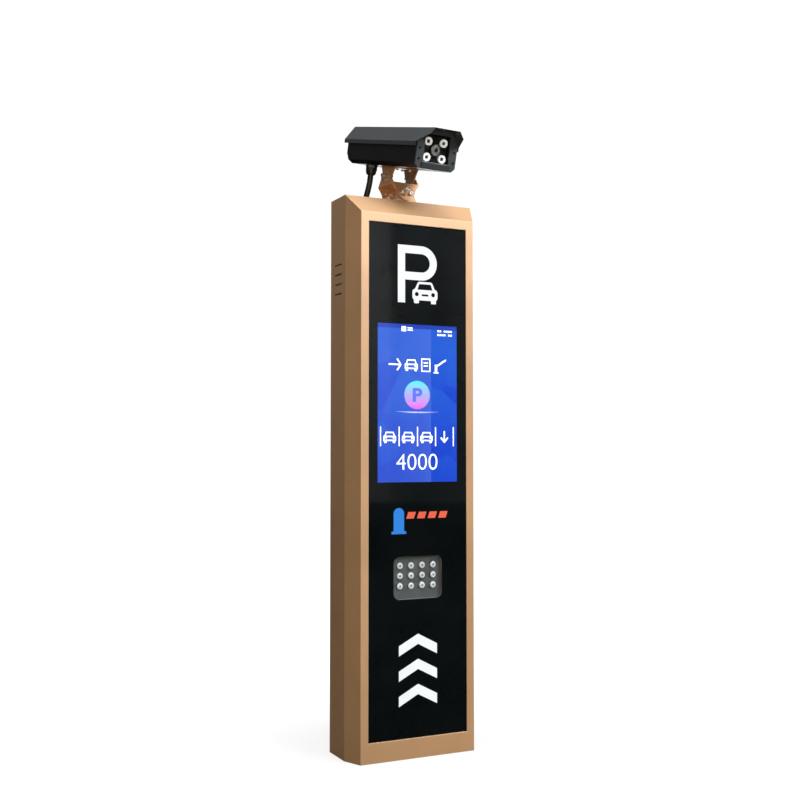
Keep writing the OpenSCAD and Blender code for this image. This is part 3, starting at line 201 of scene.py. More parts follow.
def finish(name, colour, rough, metal=0.0, mottle=0.06, grain=900, peel=0.08, fold=0.0006, edge_wear_and_highlight=0.3,
           edge_wear_and_highlight_colour=None, stretch=(1, 1, 1), coat=0.0, coat_rough=0.3, level=0.5, cloud_size=9):
    """A mottled colour with a fine grain, softened folds, and edges painted paler: in part rubbed wear, in part a
    painted highlight along the bends.
    """
    made, tree, skin, place = plain_material(name)
    along = add_node(tree, "Mapping", {"Scale": stretch, "Vector": place}).outputs["Vector"]
    cloud = noise(tree, along, cloud_size, detail=4, name="cloud")
    grains = noise(tree, along, grain, detail=1)
    tone = ramp_of(tree, reckoned(tree, "MULTIPLY_ADD", grains, 0.5, cloud),
                   (0.5, [c * (1 - mottle) for c in colour]), (1, [min(1, c * (1 + mottle)) for c in colour]),
                   name="tone")
    round_off = add_node(tree, "Bevel", {"Radius": fold}, samples=4).outputs["Normal"]
    bump = add_node(tree, "Bump", {"Strength": peel, "Distance": 0.0005, "Height": grains, "Normal": round_off})
    flat = add_node(tree, "NewGeometry", {}).outputs["Normal"]
    # Edges and folds are painted paler: rubbed wear, and a painted highlight along each bend.
    bend = add_node(tree, "VectorMath", {0: round_off, 1: flat}, operation="DOT_PRODUCT").outputs["Value"]
    edge_wear_and_highlight_mask = reckoned(tree, "MULTIPLY", ranged(tree, bend, 0.995, 0.80, to_max=edge_wear_and_highlight), cloud)
    worn_and_highlit = mixed(tree, edge_wear_and_highlight_mask, tone, (*(edge_wear_and_highlight_colour or paler(colour)), 1), data_type="RGBA", name="worn_and_highlit")
    fill(tree, skin, {"Base Color": worn_and_highlit, "Metallic": metal, "Specular IOR Level": level,
                      "Roughness": ranged(tree, cloud, 0.3, 0.7, max(0.02, rough - 0.05), rough + 0.05),
                      "Coat Weight": coat, "Coat Roughness": coat_rough, "Normal": bump.outputs["Normal"]})
    return made


def coated_over(material, axis, at, colour):
    """Past a point on one axis, the finish takes a second colour over 0.4 mm."""
    soft = 0.0002
    tree = material.node_tree
    place = add_node(tree, "TexCoord", {}).outputs["Object"]
    reach = add_node(tree, "SeparateXYZ", {"Vector": place}).outputs[axis]
    second = mixed(tree, ranged(tree, reach, at - soft, at + soft), tree.nodes["worn_and_highlit"].outputs["Result"],
                   (*colour, 1), data_type="RGBA")
    fill(tree, tree.nodes["Principled BSDF"], {"Base Color": second})
    return material


def dress(material, *names):
    """Gives the named CAD nodes one finish all over."""
    for name in names:
        mesh = nodes[name].data
        mesh.materials.clear()
        mesh.materials.append(material)


# The bends and edges of the champagne coat are painted pale cream: a painted highlight along each fold.
champagne = finish("champagne_coat", (0.56, 0.315, 0.140), 0.40, metal=0.30, mottle=0.05, grain=1500, peel=0.10,
                   fold=0.0018, edge_wear_and_highlight=0.9, edge_wear_and_highlight_colour=(0.98, 0.80, 0.60), coat=1.0, coat_rough=0.55, level=0.1)
fill(champagne.node_tree, champagne.node_tree.nodes["Principled BSDF"], {"Coat IOR": 1.75})
dress(champagne, "front_frame", "side_wrap", "back_frame")

# ---- Floor plate and grommet --------------------------------------------------------
# A 6 mm plate, zinc plated, welded inside the foot, with four anchor holes and a rubber
# edging pressed round the opening for the supply and network cables.


def zinc_plate(name):
    """Zinc with the faint crystal pattern of hot-dip galvanising."""
    made = finish(name, (0.50, 0.51, 0.52), 0.34, metal=0.9, mottle=0.10, grain=500, peel=0.03, fold=0.0004, edge_wear_and_highlight=0.4)
    tree = made.node_tree
    place = add_node(tree, "TexCoord", {}).outputs["Object"]
    spangle = add_node(tree, "TexVoronoi", {"Scale": 160, "Vector": place}).outputs["Color"]
    shade = add_node(tree, "SeparateColor", {"Color": spangle}).outputs["Red"]
    fill(tree, tree.nodes["tone"],
         {"Fac": reckoned(tree, "MULTIPLY_ADD", shade, 0.35, tree.nodes["cloud"].outputs["Fac"])})
    tree.nodes["tone"].color_ramp.elements[0].position = 0.4
    return made


zinc = zinc_plate("zinc_plated_steel")
soft_black = finish("moulded_rubber", (0.018, 0.018, 0.019), 0.62, mottle=0.2, grain=1100, peel=0.25, edge_wear_and_highlight=0.15,
                    level=0.35)
dress(zinc, "base_plate")
dress(soft_black, "cable_grommet")

# ---- Glass front --------------------------------------------------------------------
# Toughened glass, back printed in black and white inks, bonded to the ledge with foam
# tape. The signs let the light boxes shine through; a small lane barrier stands in blue
# and coral.


def clear_pane(name):
    """Flat glass that lamps shine through, with faint wiping marks in its gloss."""
    tint = (0.97, 0.985, 0.98)
    made, tree, skin, place = plain_material(name)
    wipe = add_node(tree, "Mapping", {"Rotation": (0, 0.6, 0), "Scale": (26, 26, 4), "Vector": place})
    smear = noise(tree, wipe.outputs["Vector"], 1.4)
    fill(tree, skin, {"Base Color": (*tint, 1), "IOR": 1.5, "Transmission Weight": 1,
                      "Roughness": ranged(tree, smear, 0, 1, 0.015, 0.045)})
    ray = add_node(tree, "LightPath", {}).outputs
    let_by = add_node(tree, "BsdfTransparent", {"Color": (*[c * 0.95 for c in tint], 1)})
    choose = add_node(tree, "MixShader", {"Fac": ray["Is Shadow Ray"], 1: skin.outputs["BSDF"],
                                          2: let_by.outputs["BSDF"]})
    fill(tree, tree.nodes["Material Output"], {"Surface": choose.outputs["Shader"]})
    return made


def lit_ink(name, colour, strength, unevenness=0.08, spots=18, base=0.5):
    """Translucent ink lit from behind, a little brighter over each lamp."""
    made, tree, skin, place = plain_material(name)
    tone = ramp_of(tree, noise(tree, place, spots), (0.3, [c * (1 - unevenness) for c in colour]), (0.7, colour))
    fill(tree, skin, {"Base Color": mixed(tree, 1 - base, tone, (0, 0, 0, 1), data_type="RGBA"),
                      "Roughness": 0.35, "Emission Color": tone, "Emission Strength": strength})
    return made


black_ink = finish("black_ink", (0.0026, 0.0042, 0.0044), 0.30, mottle=0.3, grain=260, peel=0.01, edge_wear_and_highlight=0.0, level=0.1)
foam = finish("foam_tape", (0.02, 0.02, 0.02), 0.8, grain=700, peel=0.4, edge_wear_and_highlight=0.0)
dress(clear_pane("front_glass_sheet"), "front_glass")
dress(black_ink, "glass_print")
dress(foam, "glass_tape")
dress(lit_ink("white_ink", (0.95, 0.97, 1.0), 0.86, base=0.12), "sign_print")
dress(lit_ink("blue_ink", (0.035, 0.25, 0.70), 0.72, base=0.3), "mark_post")
dress(lit_ink("coral_ink", (0.82, 0.15, 0.08), 0.72, base=0.3), "mark_arm")

# ---- Display ------------------------------------------------------------------------
# A portrait LCD module behind a clear window in the print. Its picture greets drivers
# with pictograms, a parking letter on a lit disc and the number of free places.

SCREEN_MID = 0.9098
SCREEN_HALF = 0.2049
SCREEN_FRONT = -0.06955
INK = 0.00012


def screen_blue(name):
    """The lit backdrop: blue facets, a dark strip on top, and a painted reflection, a paler band left of a sharp
    upright edge, fading to the left.
    """
    made, tree, skin, place = plain_material(name)
    facets = add_node(tree, "TexVoronoi", {"Scale": 9.5, "Vector": place}, feature="F1").outputs["Color"]
    shade = add_node(tree, "SeparateColor", {"Color": facets}).outputs["Red"]
    spot = add_node(tree, "SeparateXYZ", {"Vector": place}).outputs
    down = ranged(tree, spot["Z"], SCREEN_MID - 0.205, SCREEN_MID + 0.205)
    tone = ramp_of(tree, reckoned(tree, "MULTIPLY_ADD", shade, 0.62, down), (0, (0.001, 0.055, 0.68)),
                   (0.55, (0.002, 0.060, 0.72)), (1, (0.010, 0.118, 0.79)))
    # Painted reflection: a paler band on the left of the screen, sharp at an upright edge and fading to the left.
    reflection_edge = ranged(tree, spot["X"], 0.0395, 0.0380)
    fade = ranged(tree, spot["X"], -0.14, 0.04, to_min=0.15)
    band = reckoned(tree, "MULTIPLY", reckoned(tree, "MULTIPLY", reflection_edge, fade), 0.28)
    with_painted_reflection = mixed(tree, band, tone, (0.17, 0.30, 0.95, 1), data_type="RGBA")
    strip = reckoned(tree, "GREATER_THAN", spot["Z"], SCREEN_MID + SCREEN_HALF - 0.011)
    topped = mixed(tree, strip, with_painted_reflection, (0.012, 0.055, 0.56, 1), data_type="RGBA")
    dots = add_node(tree, "TexNoise", {"Scale": 2200, "Vector": place}).outputs["Color"]
    cells = mixed(tree, 0.08, topped, dots, data_type="RGBA", blend_type="MULTIPLY")
    fill(tree, skin, {"Base Color": (0.002, 0.003, 0.01, 1), "Roughness": 0.3, "Specular IOR Level": 0.08,
                      "Emission Color": cells, "Emission Strength": 1.0})
    return made


def disc_colours(name, middle_z, radius):
    """Cyan at the top of the disc, through violet, to pink at its foot."""
    made = lit_ink(name, (1, 1, 1), 1.0, unevenness=0.1, base=0.05)
    tree = made.node_tree
    place = add_node(tree, "TexCoord", {}).outputs["Object"]
    height = add_node(tree, "SeparateXYZ", {"Vector": place}).outputs["Z"]
    tone = ramp_of(tree, ranged(tree, height, middle_z - radius, middle_z + radius), (0, (0.95, 0.05, 0.92)),
                   (0.48, (0.42, 0.40, 0.94)), (1, (0.02, 0.90, 0.96)))
    fill(tree, tree.nodes["Principled BSDF"], {"Emission Color": tone})
    return made


def place_piece(name, build, material, body="cabinet", smooth=False):
    """Makes a piece of finished faces, which stands where its points are."""
    mesh = bpy.data.meshes.new(name)
    build.to_mesh(mesh)
    build.free()
    mesh.materials.clear()
    mesh.materials.append(material)
    if smooth:
        for face in mesh.polygons:
            face.use_smooth = True
    piece = bpy.data.objects.new(name, mesh)
    bpy.context.scene.collection.objects.link(piece)
    if body:
        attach(piece, body)
    return piece


def add_shape(build, outline, y=SCREEN_FRONT):
    """Adds one flat shape, drawn by its corners in X and Z in millimetres, facing front."""
    corners = [build.verts.new((x / 1000, y, z / 1000)) for x, z in outline]
    face = bmesh.ops.contextual_create(build, geom=corners)["faces"][0]
    face.normal_update()
    if face.normal.y > 0:
        face.normal_flip()
    grown = bmesh.ops.extrude_face_region(build, geom=[face])
    raised = [g for g in grown["geom"] if isinstance(g, bmesh.types.BMVert)]
    bmesh.ops.translate(build, vec=(0, -INK, 0), verts=raised)
    bmesh.ops.recalc_face_normals(build, faces=build.faces[:])


def arc(cx, cz, radius, start, end, steps):
    """Points along part of a circle, between two angles in degrees."""
    angles = [math.radians(start + (end - start) * i / steps) for i in range(steps + 1)]
    return [(cx + radius * math.cos(a), cz + radius * math.sin(a)) for a in angles]


def slab_shape(x0, z0, x1, z1):
    """The four corners of an upright rectangle."""
    return [(x0, z0), (x1, z0), (x1, z1), (x0, z1)]


def car_shapes(cx, z0, w):
    """A car seen from the front: roof, body, lamps and two wheels, in strokes 3.4 mm wide."""
    t = 3.4
    top = z0 + w * 0.80
    waist = z0 + w * 0.46
    foot = z0 + w * 0.14
    left, right = cx - w / 2, cx + w / 2
    left_post = [(cx - w * 0.44, waist), (cx - w * 0.32, top - t / 2), (cx - w * 0.32 + t, top - t / 2),
                 (cx - w * 0.44 + t, waist)]
    right_post = [(2 * cx - x, z) for x, z in reversed(left_post)]
    shapes = [left_post, right_post, slab_shape(cx - w * 0.32, top - t, cx + w * 0.32, top),
              slab_shape(left, waist - t / 2, right, waist + t / 2), slab_shape(left, foot, right, foot + t),
              slab_shape(left, foot, left + t, waist), slab_shape(right - t, foot, right, waist)]
    for side in (-1, 1):
        wheel, lamp = cx + side * w * 0.34, cx + side * w * 0.30
        shapes.append(slab_shape(wheel - t, z0, wheel + t, foot))
        shapes.append(slab_shape(lamp - 2, foot + t + 2.6, lamp + 2, foot + t + 6))
    return shapes


def add_numerals(build, words, x0, z0, x1, z1, y=SCREEN_FRONT, weight=0.0):
    """Adds numerals or the parking letter, fitted to a box in X and Z in millimetres."""
    written = bpy.data.curves.new("numerals", "FONT")
    written.body = words
    written.offset = weight
    holder = bpy.data.objects.new("numerals", written)
    bpy.context.scene.collection.objects.link(holder)
    flat = bpy.data.meshes.new_from_object(holder)
    bpy.data.objects.remove(holder)
    loose = bmesh.new()
    loose.from_mesh(flat)
    xs = [v.co.x for v in loose.verts]
    ys = [v.co.y for v in loose.verts]
    wide, tall = max(xs) - min(xs), max(ys) - min(ys)
    for v in loose.verts:
        v.co = Vector(((x0 + (v.co.x - min(xs)) / wide * (x1 - x0)) / 1000, y - INK,
                       (z0 + (v.co.y - min(ys)) / tall * (z1 - z0)) / 1000))
    bmesh.ops.recalc_face_normals(loose, faces=loose.faces[:])
    for face in loose.faces:
        if face.normal.y > 0:
            face.normal_flip()
    part = bpy.data.meshes.new("numerals")
    loose.to_mesh(part)
    loose.free()
    build.from_mesh(part)


picture = bmesh.new()
# Greeting row: arrow in, car, ticket and raised barrier
drawn = [slab_shape(-84, 1007, -52, 1011), [(-62, 1023), (-58, 1025), (-47, 1009), (-51, 1009)],
         [(-62, 995), (-51, 1009), (-47, 1009), (-58, 993)]]
drawn += car_shapes(-19, 993, 38)
drawn += [slab_shape(10, 992, 13, 1027), slab_shape(34, 992, 37, 1027), slab_shape(10, 1024, 37, 1027),
          slab_shape(10, 992, 37, 995), slab_shape(17, 1014, 30, 1017), slab_shape(17, 1006, 30, 1009)]
drawn += [slab_shape(50, 992, 57, 1012), slab_shape(46, 989, 61, 992),
          [(57, 1006), (84, 1023), (82, 1027), (57, 1011)]]
# Free-place row: four bays, three with a car and one with an arrow down
drawn += [slab_shape(line_x - 1.5, 798, line_x + 1.5, 848) for line_x in (-107, -54, -1, 52, 105)]
for bay_x in (-81, -28, 25):
    drawn += car_shapes(bay_x, 806, 36)
drawn += [slab_shape(76, 808, 80, 838), [(66, 819), (78, 806), (78, 812), (69, 822)],
          [(90, 819), (87, 822), (78, 812), (78, 806)]]
# Status marks along the top
drawn.append(slab_shape(-47, 1096, -34, 1109))
for row, row_z in enumerate((1098, 1088)):
    drawn += [slab_shape(58 + 6.4 * i, row_z, 62.5 + 6.4 * i, row_z + 5) for i in range(7)
              if (i, row) not in ((2, 0), (4, 1))]
drawn += [slab_shape(-30, row_z, -15, row_z + 3) for row_z in (1104, 1098)]
for outline in drawn:
    add_shape(picture, outline)
add_numerals(picture, "4000", -62, 737, 57, 778, weight=-0.012)
bmesh.ops.triangulate(picture, faces=picture.faces[:])
place_piece("screen_picture", picture, lit_ink("screen_white", (0.93, 0.95, 1.0), 1.0, 0.03))

disc = bmesh.new()
add_shape(disc, arc(-2, 931, 37, 0, 360, 63)[:-1])
place_piece("screen_disc", disc, disc_colours("disc_light", 0.931, 0.037))

badge = bmesh.new()
add_numerals(badge, "P", -15, 913, 13, 949, SCREEN_FRONT - 0.00014, weight=0.035)
place_piece("disc_letter", badge, lit_ink("disc_letter_ink", (0.06, 0.09, 0.62), 1.0, 0.04))

gleam = bmesh.new()
add_shape(gleam, arc(-2, 1687, 803, 265.4, 274.6, 20) + arc(-2, 1885, 999.5, 273.7, 266.3, 20))
bmesh.ops.triangulate(gleam, faces=gleam.faces[:])
place_piece("screen_gleam", gleam, lit_ink("gleam_light", (0.45, 0.42, 0.96), 1.0, 0.25, spots=30))

black_steel = finish("black_module_steel", (0.012, 0.012, 0.013), 0.45, metal=0.3, grain=800, peel=0.1)
dress(screen_blue("screen_light"), "screen_panel")
dress(black_steel, "screen_frame")
dress(zinc, "screen_straps")


def circuit_board(name, colour, side, at, parts_colour):
    """Solder resist with faint copper runs under it; the parts on it stand clear."""
    made = finish(name, colour, 0.30, mottle=0.15, grain=700, peel=0.04, edge_wear_and_highlight=0.1)
    tree = made.node_tree
    place = add_node(tree, "TexCoord", {}).outputs["Object"]
    lay_flat = add_node(tree, "Mapping", {"Rotation": (math.radians(90), 0, 0), "Vector": place})
    runs = add_node(tree, "TexBrick", {"Vector": lay_flat.outputs["Vector"], "Scale": 90, "Color1": (*colour, 1),
                                       "Color2": (*[c * 0.8 for c in colour], 1),
                                       "Mortar": (*paler(colour, more=0.02), 1), "Mortar Size": 0.012})
    fill(tree, tree.nodes["worn_and_highlit"], {"A": runs.outputs["Color"]})
    return coated_over(made, side, at, parts_colour)


dress(circuit_board("display_board", (0.010, 0.10, 0.035), "Y", -0.0527, (0.02, 0.02, 0.02)), "screen_board")

# ---- Lit signs ----------------------------------------------------------------------
# Two white folded trays behind the parking sign and the arrows, each with a board of
# white lamps on its floor.

tray_white = finish("tray_white", (0.78, 0.78, 0.76), 0.5, mottle=0.04, grain=900, peel=0.1, edge_wear_and_highlight=0.1)
dress(tray_white, "sign_trays")
lamp_strip = finish("white_lamp_board", (0.72, 0.72, 0.68), 0.35, mottle=0.05, grain=700, peel=0.05, edge_wear_and_highlight=0.05)
dress(coated_over(lamp_strip, "Y", -0.0481, (0.80, 0.78, 0.70)), "sign_leds")

# ---- Fill lamp ----------------------------------------------------------------------
# A grey pressed tray behind a clear window in the print, twelve moulded lenses standing
# through its floor, and a finned aluminium heat sink behind the lamp board.

tray_grey = finish("tray_grey", (0.070, 0.075, 0.075), 0.34, metal=0.25, mottle=0.06, grain=1000, peel=0.08,
                   fold=0.001)
dress(tray_grey, "lamp_tray")
dress(circuit_board("lamp_board_white", (0.60, 0.62, 0.60), "Y", -0.0500, (0.6, 0.6, 0.6)), "lamp_board")
bare_aluminium = finish("drawn_aluminium", (0.62, 0.63, 0.64), 0.32, metal=1.0, mottle=0.05, grain=160, peel=0.12,
                        stretch=(6, 6, 0.4))
dress(bare_aluminium, "lamp_heat_sink")


def turned(build, profile, steps, middle):
    """Adds a shape turned on an axis to the front: profile is (radius, reach) in millimetres."""
    made = bmesh.new()
    points = [made.verts.new((r / 1000, 0, h / 1000)) for r, h in profile]
    for a, b in zip(points, points[1:]):
        made.edges.new((a, b))
    bmesh.ops.spin(made, geom=made.verts[:] + made.edges[:], cent=(0, 0, 0), axis=(0, 0, 1),
                   angle=math.tau, steps=steps, use_merge=True)
    bmesh.ops.remove_doubles(made, verts=made.verts[:], dist=1e-6)
    bmesh.ops.recalc_face_normals(made, faces=made.faces[:])
    to_front = Vector((0, 0, 1)).rotation_difference(Vector((0, -1, 0))).to_matrix().to_4x4()
    bmesh.ops.transform(made, matrix=Matrix.Translation(Vector(middle) / 1000) @ to_front, verts=made.verts[:])
    part = bpy.data.meshes.new("turned")
    made.to_mesh(part)
    made.free()
    build.from_mesh(part)


def glowing(material, colour, strength):
    """A finish that also gives off a little light."""
    fill(material.node_tree, material.node_tree.nodes["Principled BSDF"],
         {"Emission Color": (*colour, 1), "Emission Strength": strength})
    return material


# Each lens steps in to a collar and dips at the middle; a dark ring round the collar is
# painted shade for the gap round the lens, and the chip in the dip glows faintly, a painted
# highlight. The lenses glow a little too: painted light. They stand on the tray's floor, in millimetres.
ACRYLIC = (0.46, 0.48, 0.48)
TRAY_FLOOR = -55.5
LAMP_MID = 463.5
lens_profile = [(0, 0), (9.5, 0), (9.5, 2.4), (8.3, 2.6), (8.3, 5.9), (7.0, 7.4), (5.4, 8.2),
                (4.6, 8.5), (4.2, 8.1), (3.0, 7.4), (1.6, 7.0), (0, 6.9)]
rim_profile = [(8.5, 2.6), (9.7, 2.6), (9.7, 5.6), (9.3, 6.1), (8.7, 6.3), (8.4, 5.9), (8.5, 2.6)]
chip_profile = [(0, 7.2), (2.9, 7.25), (3.5, 7.9), (2.6, 8.5), (0, 8.7)]
acrylic = glowing(finish("fill_lens_acrylic", ACRYLIC, 0.16, mottle=0.03, grain=600, peel=0.02, edge_wear_and_highlight=0.0),
                  ACRYLIC, 0.12)
fill(acrylic.node_tree, acrylic.node_tree.nodes["Principled BSDF"],
     {"Subsurface Weight": 0.3, "Subsurface Radius": (0.004, 0.004, 0.004)})
ring_painted_shade = finish("ring_painted_shade", (0.012, 0.012, 0.013), 0.3, grain=900, peel=0.05, edge_wear_and_highlight=0.0)
chip_painted_highlight = lit_ink("chip_painted_highlight", (0.26, 0.27, 0.26), 0.10, spots=60)
for name, profile, steps, material in (("fill_lenses", lens_profile, 32, acrylic),
                                       ("fill_shade_rings", rim_profile, 32, ring_painted_shade),
                                       ("fill_chips", chip_profile, 20, chip_painted_highlight)):
    build = bmesh.new()
    for column in (-48, -16, 16, 48):
        for row in (-26, 0, 26):
            turned(build, profile, steps, (column, TRAY_FLOOR, LAMP_MID + row))
    piece = place_piece(name, build, material, smooth=True)
    if name == "fill_lenses":
        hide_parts("lamp_lenses")

# ---- Equipment plate and what it carries --------------------------------------------
# A zinc-plated plate with side flanges carries the controller, the power supply, a rail
# with breaker and terminals, and a brass earth bar.

dress(zinc, "equipment_plate", "din_rail")
black_anodised = finish("black_anodised", (0.030, 0.031, 0.033), 0.38, metal=0.7, grain=300, peel=0.10,
                        stretch=(1, 1, 8), edge_wear_and_highlight=0.5, edge_wear_and_highlight_colour=(0.3, 0.3, 0.3))
dress(black_anodised, "controller")
dress(finish("perforated_case", (0.56, 0.57, 0.58), 0.32, metal=0.95, grain=220, peel=0.1, stretch=(8, 1, 1)),
      "power_supply")
white_plastic = finish("breaker_plastic", (0.62, 0.62, 0.60), 0.42, mottle=0.03, grain=1000, peel=0.2, edge_wear_and_highlight=0.2)
dress(white_plastic, "breaker_case")
dress(finish("toggle_plastic", (0.02, 0.02, 0.022), 0.38, grain=1000, peel=0.1), "breaker_toggle")
dress(finish("terminal_plastic", (0.16, 0.17, 0.165), 0.48, mottle=0.04, grain=900, peel=0.2), "terminal_blocks")
dress(finish("brass_bar", (0.72, 0.50, 0.20), 0.30, metal=1.0, mottle=0.08, grain=240, peel=0.1, stretch=(1, 6, 6)),
      "earth_bar")

# ---- Speaker and fan ----------------------------------------------------------------
# A small round speaker behind the left louvres, and an axial fan behind the right ones.

dress(finish("speaker_basket", (0.05, 0.05, 0.052), 0.45, metal=0.6, grain=700, peel=0.15), "speaker_frame")
dress(finish("speaker_cone_paper", (0.028, 0.027, 0.026), 0.75, mottle=0.2, grain=420, peel=0.5, edge_wear_and_highlight=0.1),
      "speaker_cone")
fan_black = finish("fan_plastic", (0.022, 0.022, 0.023), 0.42, grain=1000, peel=0.12, edge_wear_and_highlight=0.2)
dress(fan_black, "fan_frame", "fan_rotor")

# ---- Fasteners, door seal and rear door ---------------------------------------------
# The gear is held by plated screws. The door is a folded, coated leaf on two weld-on
# hinges, against a cellular rubber seal, with a chromed quarter-turn lock.

stainless = finish("stainless_steel", (0.78, 0.78, 0.76), 0.26, metal=0.85, mottle=0.06, grain=900, peel=0.06,
                   fold=0.0004, edge_wear_and_highlight=0.3)
dress(zinc, "cabinet_fasteners", "hinge_frame_leaves")
dress(finish("sponge_seal", (0.014, 0.014, 0.014), 0.82, mottle=0.2, grain=1500, peel=0.6, edge_wear_and_highlight=0.0), "door_seal")
dress(champagne, "rear_door")
dress(zinc, "hinge_door_leaves")
dress(finish("chromed_zinc", (0.70, 0.71, 0.72), 0.14, metal=1.0, mottle=0.04, grain=500, peel=0.02), "lock_barrel")
dress(zinc, "lock_cam")

# ---- Tilt bracket -------------------------------------------------------------------
# Three folded plates on a pan bolt: the base turns, the cross piece rolls and the top
# plate tilts, each clamped by stainless socket screws through curved slots.

dress(stainless, "pan_bolt", "roll_screws")
blackened = finish("mixed_screws", (0.03, 0.03, 0.032), 0.30, metal=0.9, grain=900, peel=0.06, fold=0.0004)
dress(coated_over(blackened, "Y", -0.09, (0.60, 0.59, 0.57)), "camera_screws")
# The bracket's bends and edges are painted pale: a painted highlight along each fold.
bracket_coat = finish("bracket_coat", (0.58, 0.31, 0.14), 0.40, metal=0.40, mottle=0.08, grain=1500, peel=0.12,
                      fold=0.0009, edge_wear_and_highlight=0.7, edge_wear_and_highlight_colour=(0.9, 0.75, 0.55), coat=0.6, coat_rough=0.45)
dress(bracket_coat, "bracket_base", "bracket_cross", "bracket_top")

# ---- Camera housing -----------------------------------------------------------------
# An extruded aluminium housing with a separate sun roof, both in a fine-textured black
# powder coat, with a cast rear cap.

# The housing's, the sun roof's and the window frame's edges are painted paler: a painted highlight along their folds.
camera_coat = finish("camera_coat", (0.0030, 0.0042, 0.0045), 0.48, mottle=0.15, grain=1300, peel=0.45, fold=0.0010,
                     edge_wear_and_highlight=0.35, edge_wear_and_highlight_colour=(0.06, 0.065, 0.065), level=0.22)
# The sun roof is the same black coat as the housing, painted about ten times paler: painted light where the top light
# falls on it.
roof_coat_with_painted_light = finish("roof_coat_with_painted_light", (0.034, 0.040, 0.041), 0.34, mottle=0.15, grain=1300, peel=0.5, fold=0.0010,
                   edge_wear_and_highlight=0.35, edge_wear_and_highlight_colour=(0.14, 0.15, 0.15), level=0.5)
dress(camera_coat, "housing_body", "rear_cap")
dress(roof_coat_with_painted_light, "sunshield")
dress(finish("window_coat", (0.046, 0.053, 0.054), 0.40, mottle=0.1, grain=1200, peel=0.35, fold=0.0008,
             edge_wear_and_highlight=0.5, edge_wear_and_highlight_colour=(0.2, 0.2, 0.2)), "window_frame")
dress(clear_pane("camera_window"), "window_pane")
dress(black_anodised, "lens_barrel", "camera_module")
dress(finish("board_black", (0.004, 0.004, 0.0045), 0.6, grain=900, peel=0.1, edge_wear_and_highlight=0.0, level=0.2), "flash_board")
dress(finish("gland_nylon", (0.008, 0.0085, 0.009), 0.40, grain=900, peel=0.12, level=0.4), "cabinet_gland",
      "camera_gland_parts")
dress(clear_pane("camera_lens"), "lens_glass")
# The reflector bowls give off a little white light: a painted sheen, not the lamps at work.
bowl = finish("reflector_bowl", (0.86, 0.88, 0.88), 0.16, metal=0.2, grain=500, peel=0.02, edge_wear_and_highlight=0.0)
dress(glowing(bowl, (1, 1, 1), 0.30), "flash_lamps")

# The camera is turned 5 degrees on its pan bolt and tilted 14.5 degrees down
CAMERA_PLACE = (Matrix.Translation((-0.010, 0.025, 1.5135)) @ Matrix.Rotation(math.radians(5), 4, "Z")
                @ Matrix.Rotation(math.radians(14.5), 4, "X"))
LENS_PLACE = (0, -169.4, 86)


def camera_piece(name, build, material, smooth=True):
    """Sets a piece drawn in the camera's own frame into its tilted place."""
    bmesh.ops.transform(build, matrix=CAMERA_PLACE, verts=build.verts[:])
    place_piece(name, build, material, "camera", smooth)


# Front ring and bulged front element of the lens, just behind the window
ring = bmesh.new()
turned(ring, [(16.4, -0.9), (16.4, 1.9), (15.9, 2.4), (14.9, 2.4), (14.3, 1.4), (14.3, -0.9), (16.4, -0.9)], 48,
       LENS_PLACE)
camera_piece("lens_ring", ring, finish("lens_ring_black", (0.02, 0.021, 0.022), 0.3, metal=0.5, grain=400))
bulge = bmesh.new()
turned(bulge, [(0, 2.0), (3.5, 1.9), (7, 1.6), (10.2, 1.0), (12.6, 0.3), (14.2, -0.4), (14.2, -0.8), (0, -0.8)], 48,
       LENS_PLACE)
# The front element is painted mid grey with cloudy patches under its clear coat: a painted sheen for the light the
# glass mirrors.
lens_painted_sheen = finish("lens_painted_sheen", (0.19, 0.205, 0.21), 0.10, mottle=0.35, grain=60, peel=0.0, edge_wear_and_highlight=0.0, coat=1.0,
                     coat_rough=0.03, cloud_size=40)
camera_piece("lens_front", bulge, lens_painted_sheen)
# A black disc on the lens's middle: painted shade for the dark depth seen through the glass.
pupil = bmesh.new()
turned(pupil, [(0, 0.3), (5.0, 0.05), (5.4, -0.2), (0, -0.2)], 32, (0, -171.55, 86))
camera_piece("lens_pupil", pupil, finish("lens_middle_painted_shade", (0.012, 0.010, 0.016), 0.15, grain=300, peel=0.0, edge_wear_and_highlight=0.0))

# A dark square die on each infra-red emitter
DIE_SIZE = (0.0080, 0.0007, 0.0080)
dies = bmesh.new()
for side in (-0.023, 0.023):
    for height in (0.066, 0.106):
        die = bmesh.ops.create_cube(dies, size=1)["verts"]
        bmesh.ops.scale(dies, vec=DIE_SIZE, verts=die)
        bmesh.ops.translate(dies, vec=(side, -0.1667, height), verts=die)
bmesh.ops.bevel(dies, geom=dies.edges[:], offset=0.0002, offset_type="OFFSET", affect="EDGES", segments=1,
                profile=0.5, material=-1)
camera_piece("flash_dies", dies, finish("emitter_die", (0.02, 0.018, 0.02), 0.25, grain=900), False)

# ---- Camera lead --------------------------------------------------------------------
# One round rubber-jacketed lead, 16 mm thick: down out of the camera's gland, round
# behind the cabinet, in through the gland in the fixed rear band and down to the
# controller.

LEAD_POINTS = [(-53.5, 98, 1585), (-54, 103.5, 1563), (-54.5, 109, 1542), (-55.5, 115, 1520), (-59, 126, 1490),
               (-64, 142, 1460), (-69, 153, 1430), (-70, 149, 1405), (-70, 131, 1389), (-70, 105, 1385),
               (-70, 80, 1385), (-70, 58, 1385), (-70, 34, 1380), (-70, 14, 1364), (-70, 4, 1336), (-70, 1, 1300),
               (-70, 1, 1240), (-70, 1, 1180), (-70, 1, 1125)]
LEAD_RADIUS = 0.008

# It is cut in three lengths, one for each joint of the bracket, between these heights
LEAD_BENDS = (("lead_lower", "cabinet", "pan_foot", 1.398, 1.478),
              ("lead_middle", "pan_foot", "roll_yoke", 1.478, 1.497),
              ("lead_upper", "roll_yoke", "camera", 1.497, 1.532))


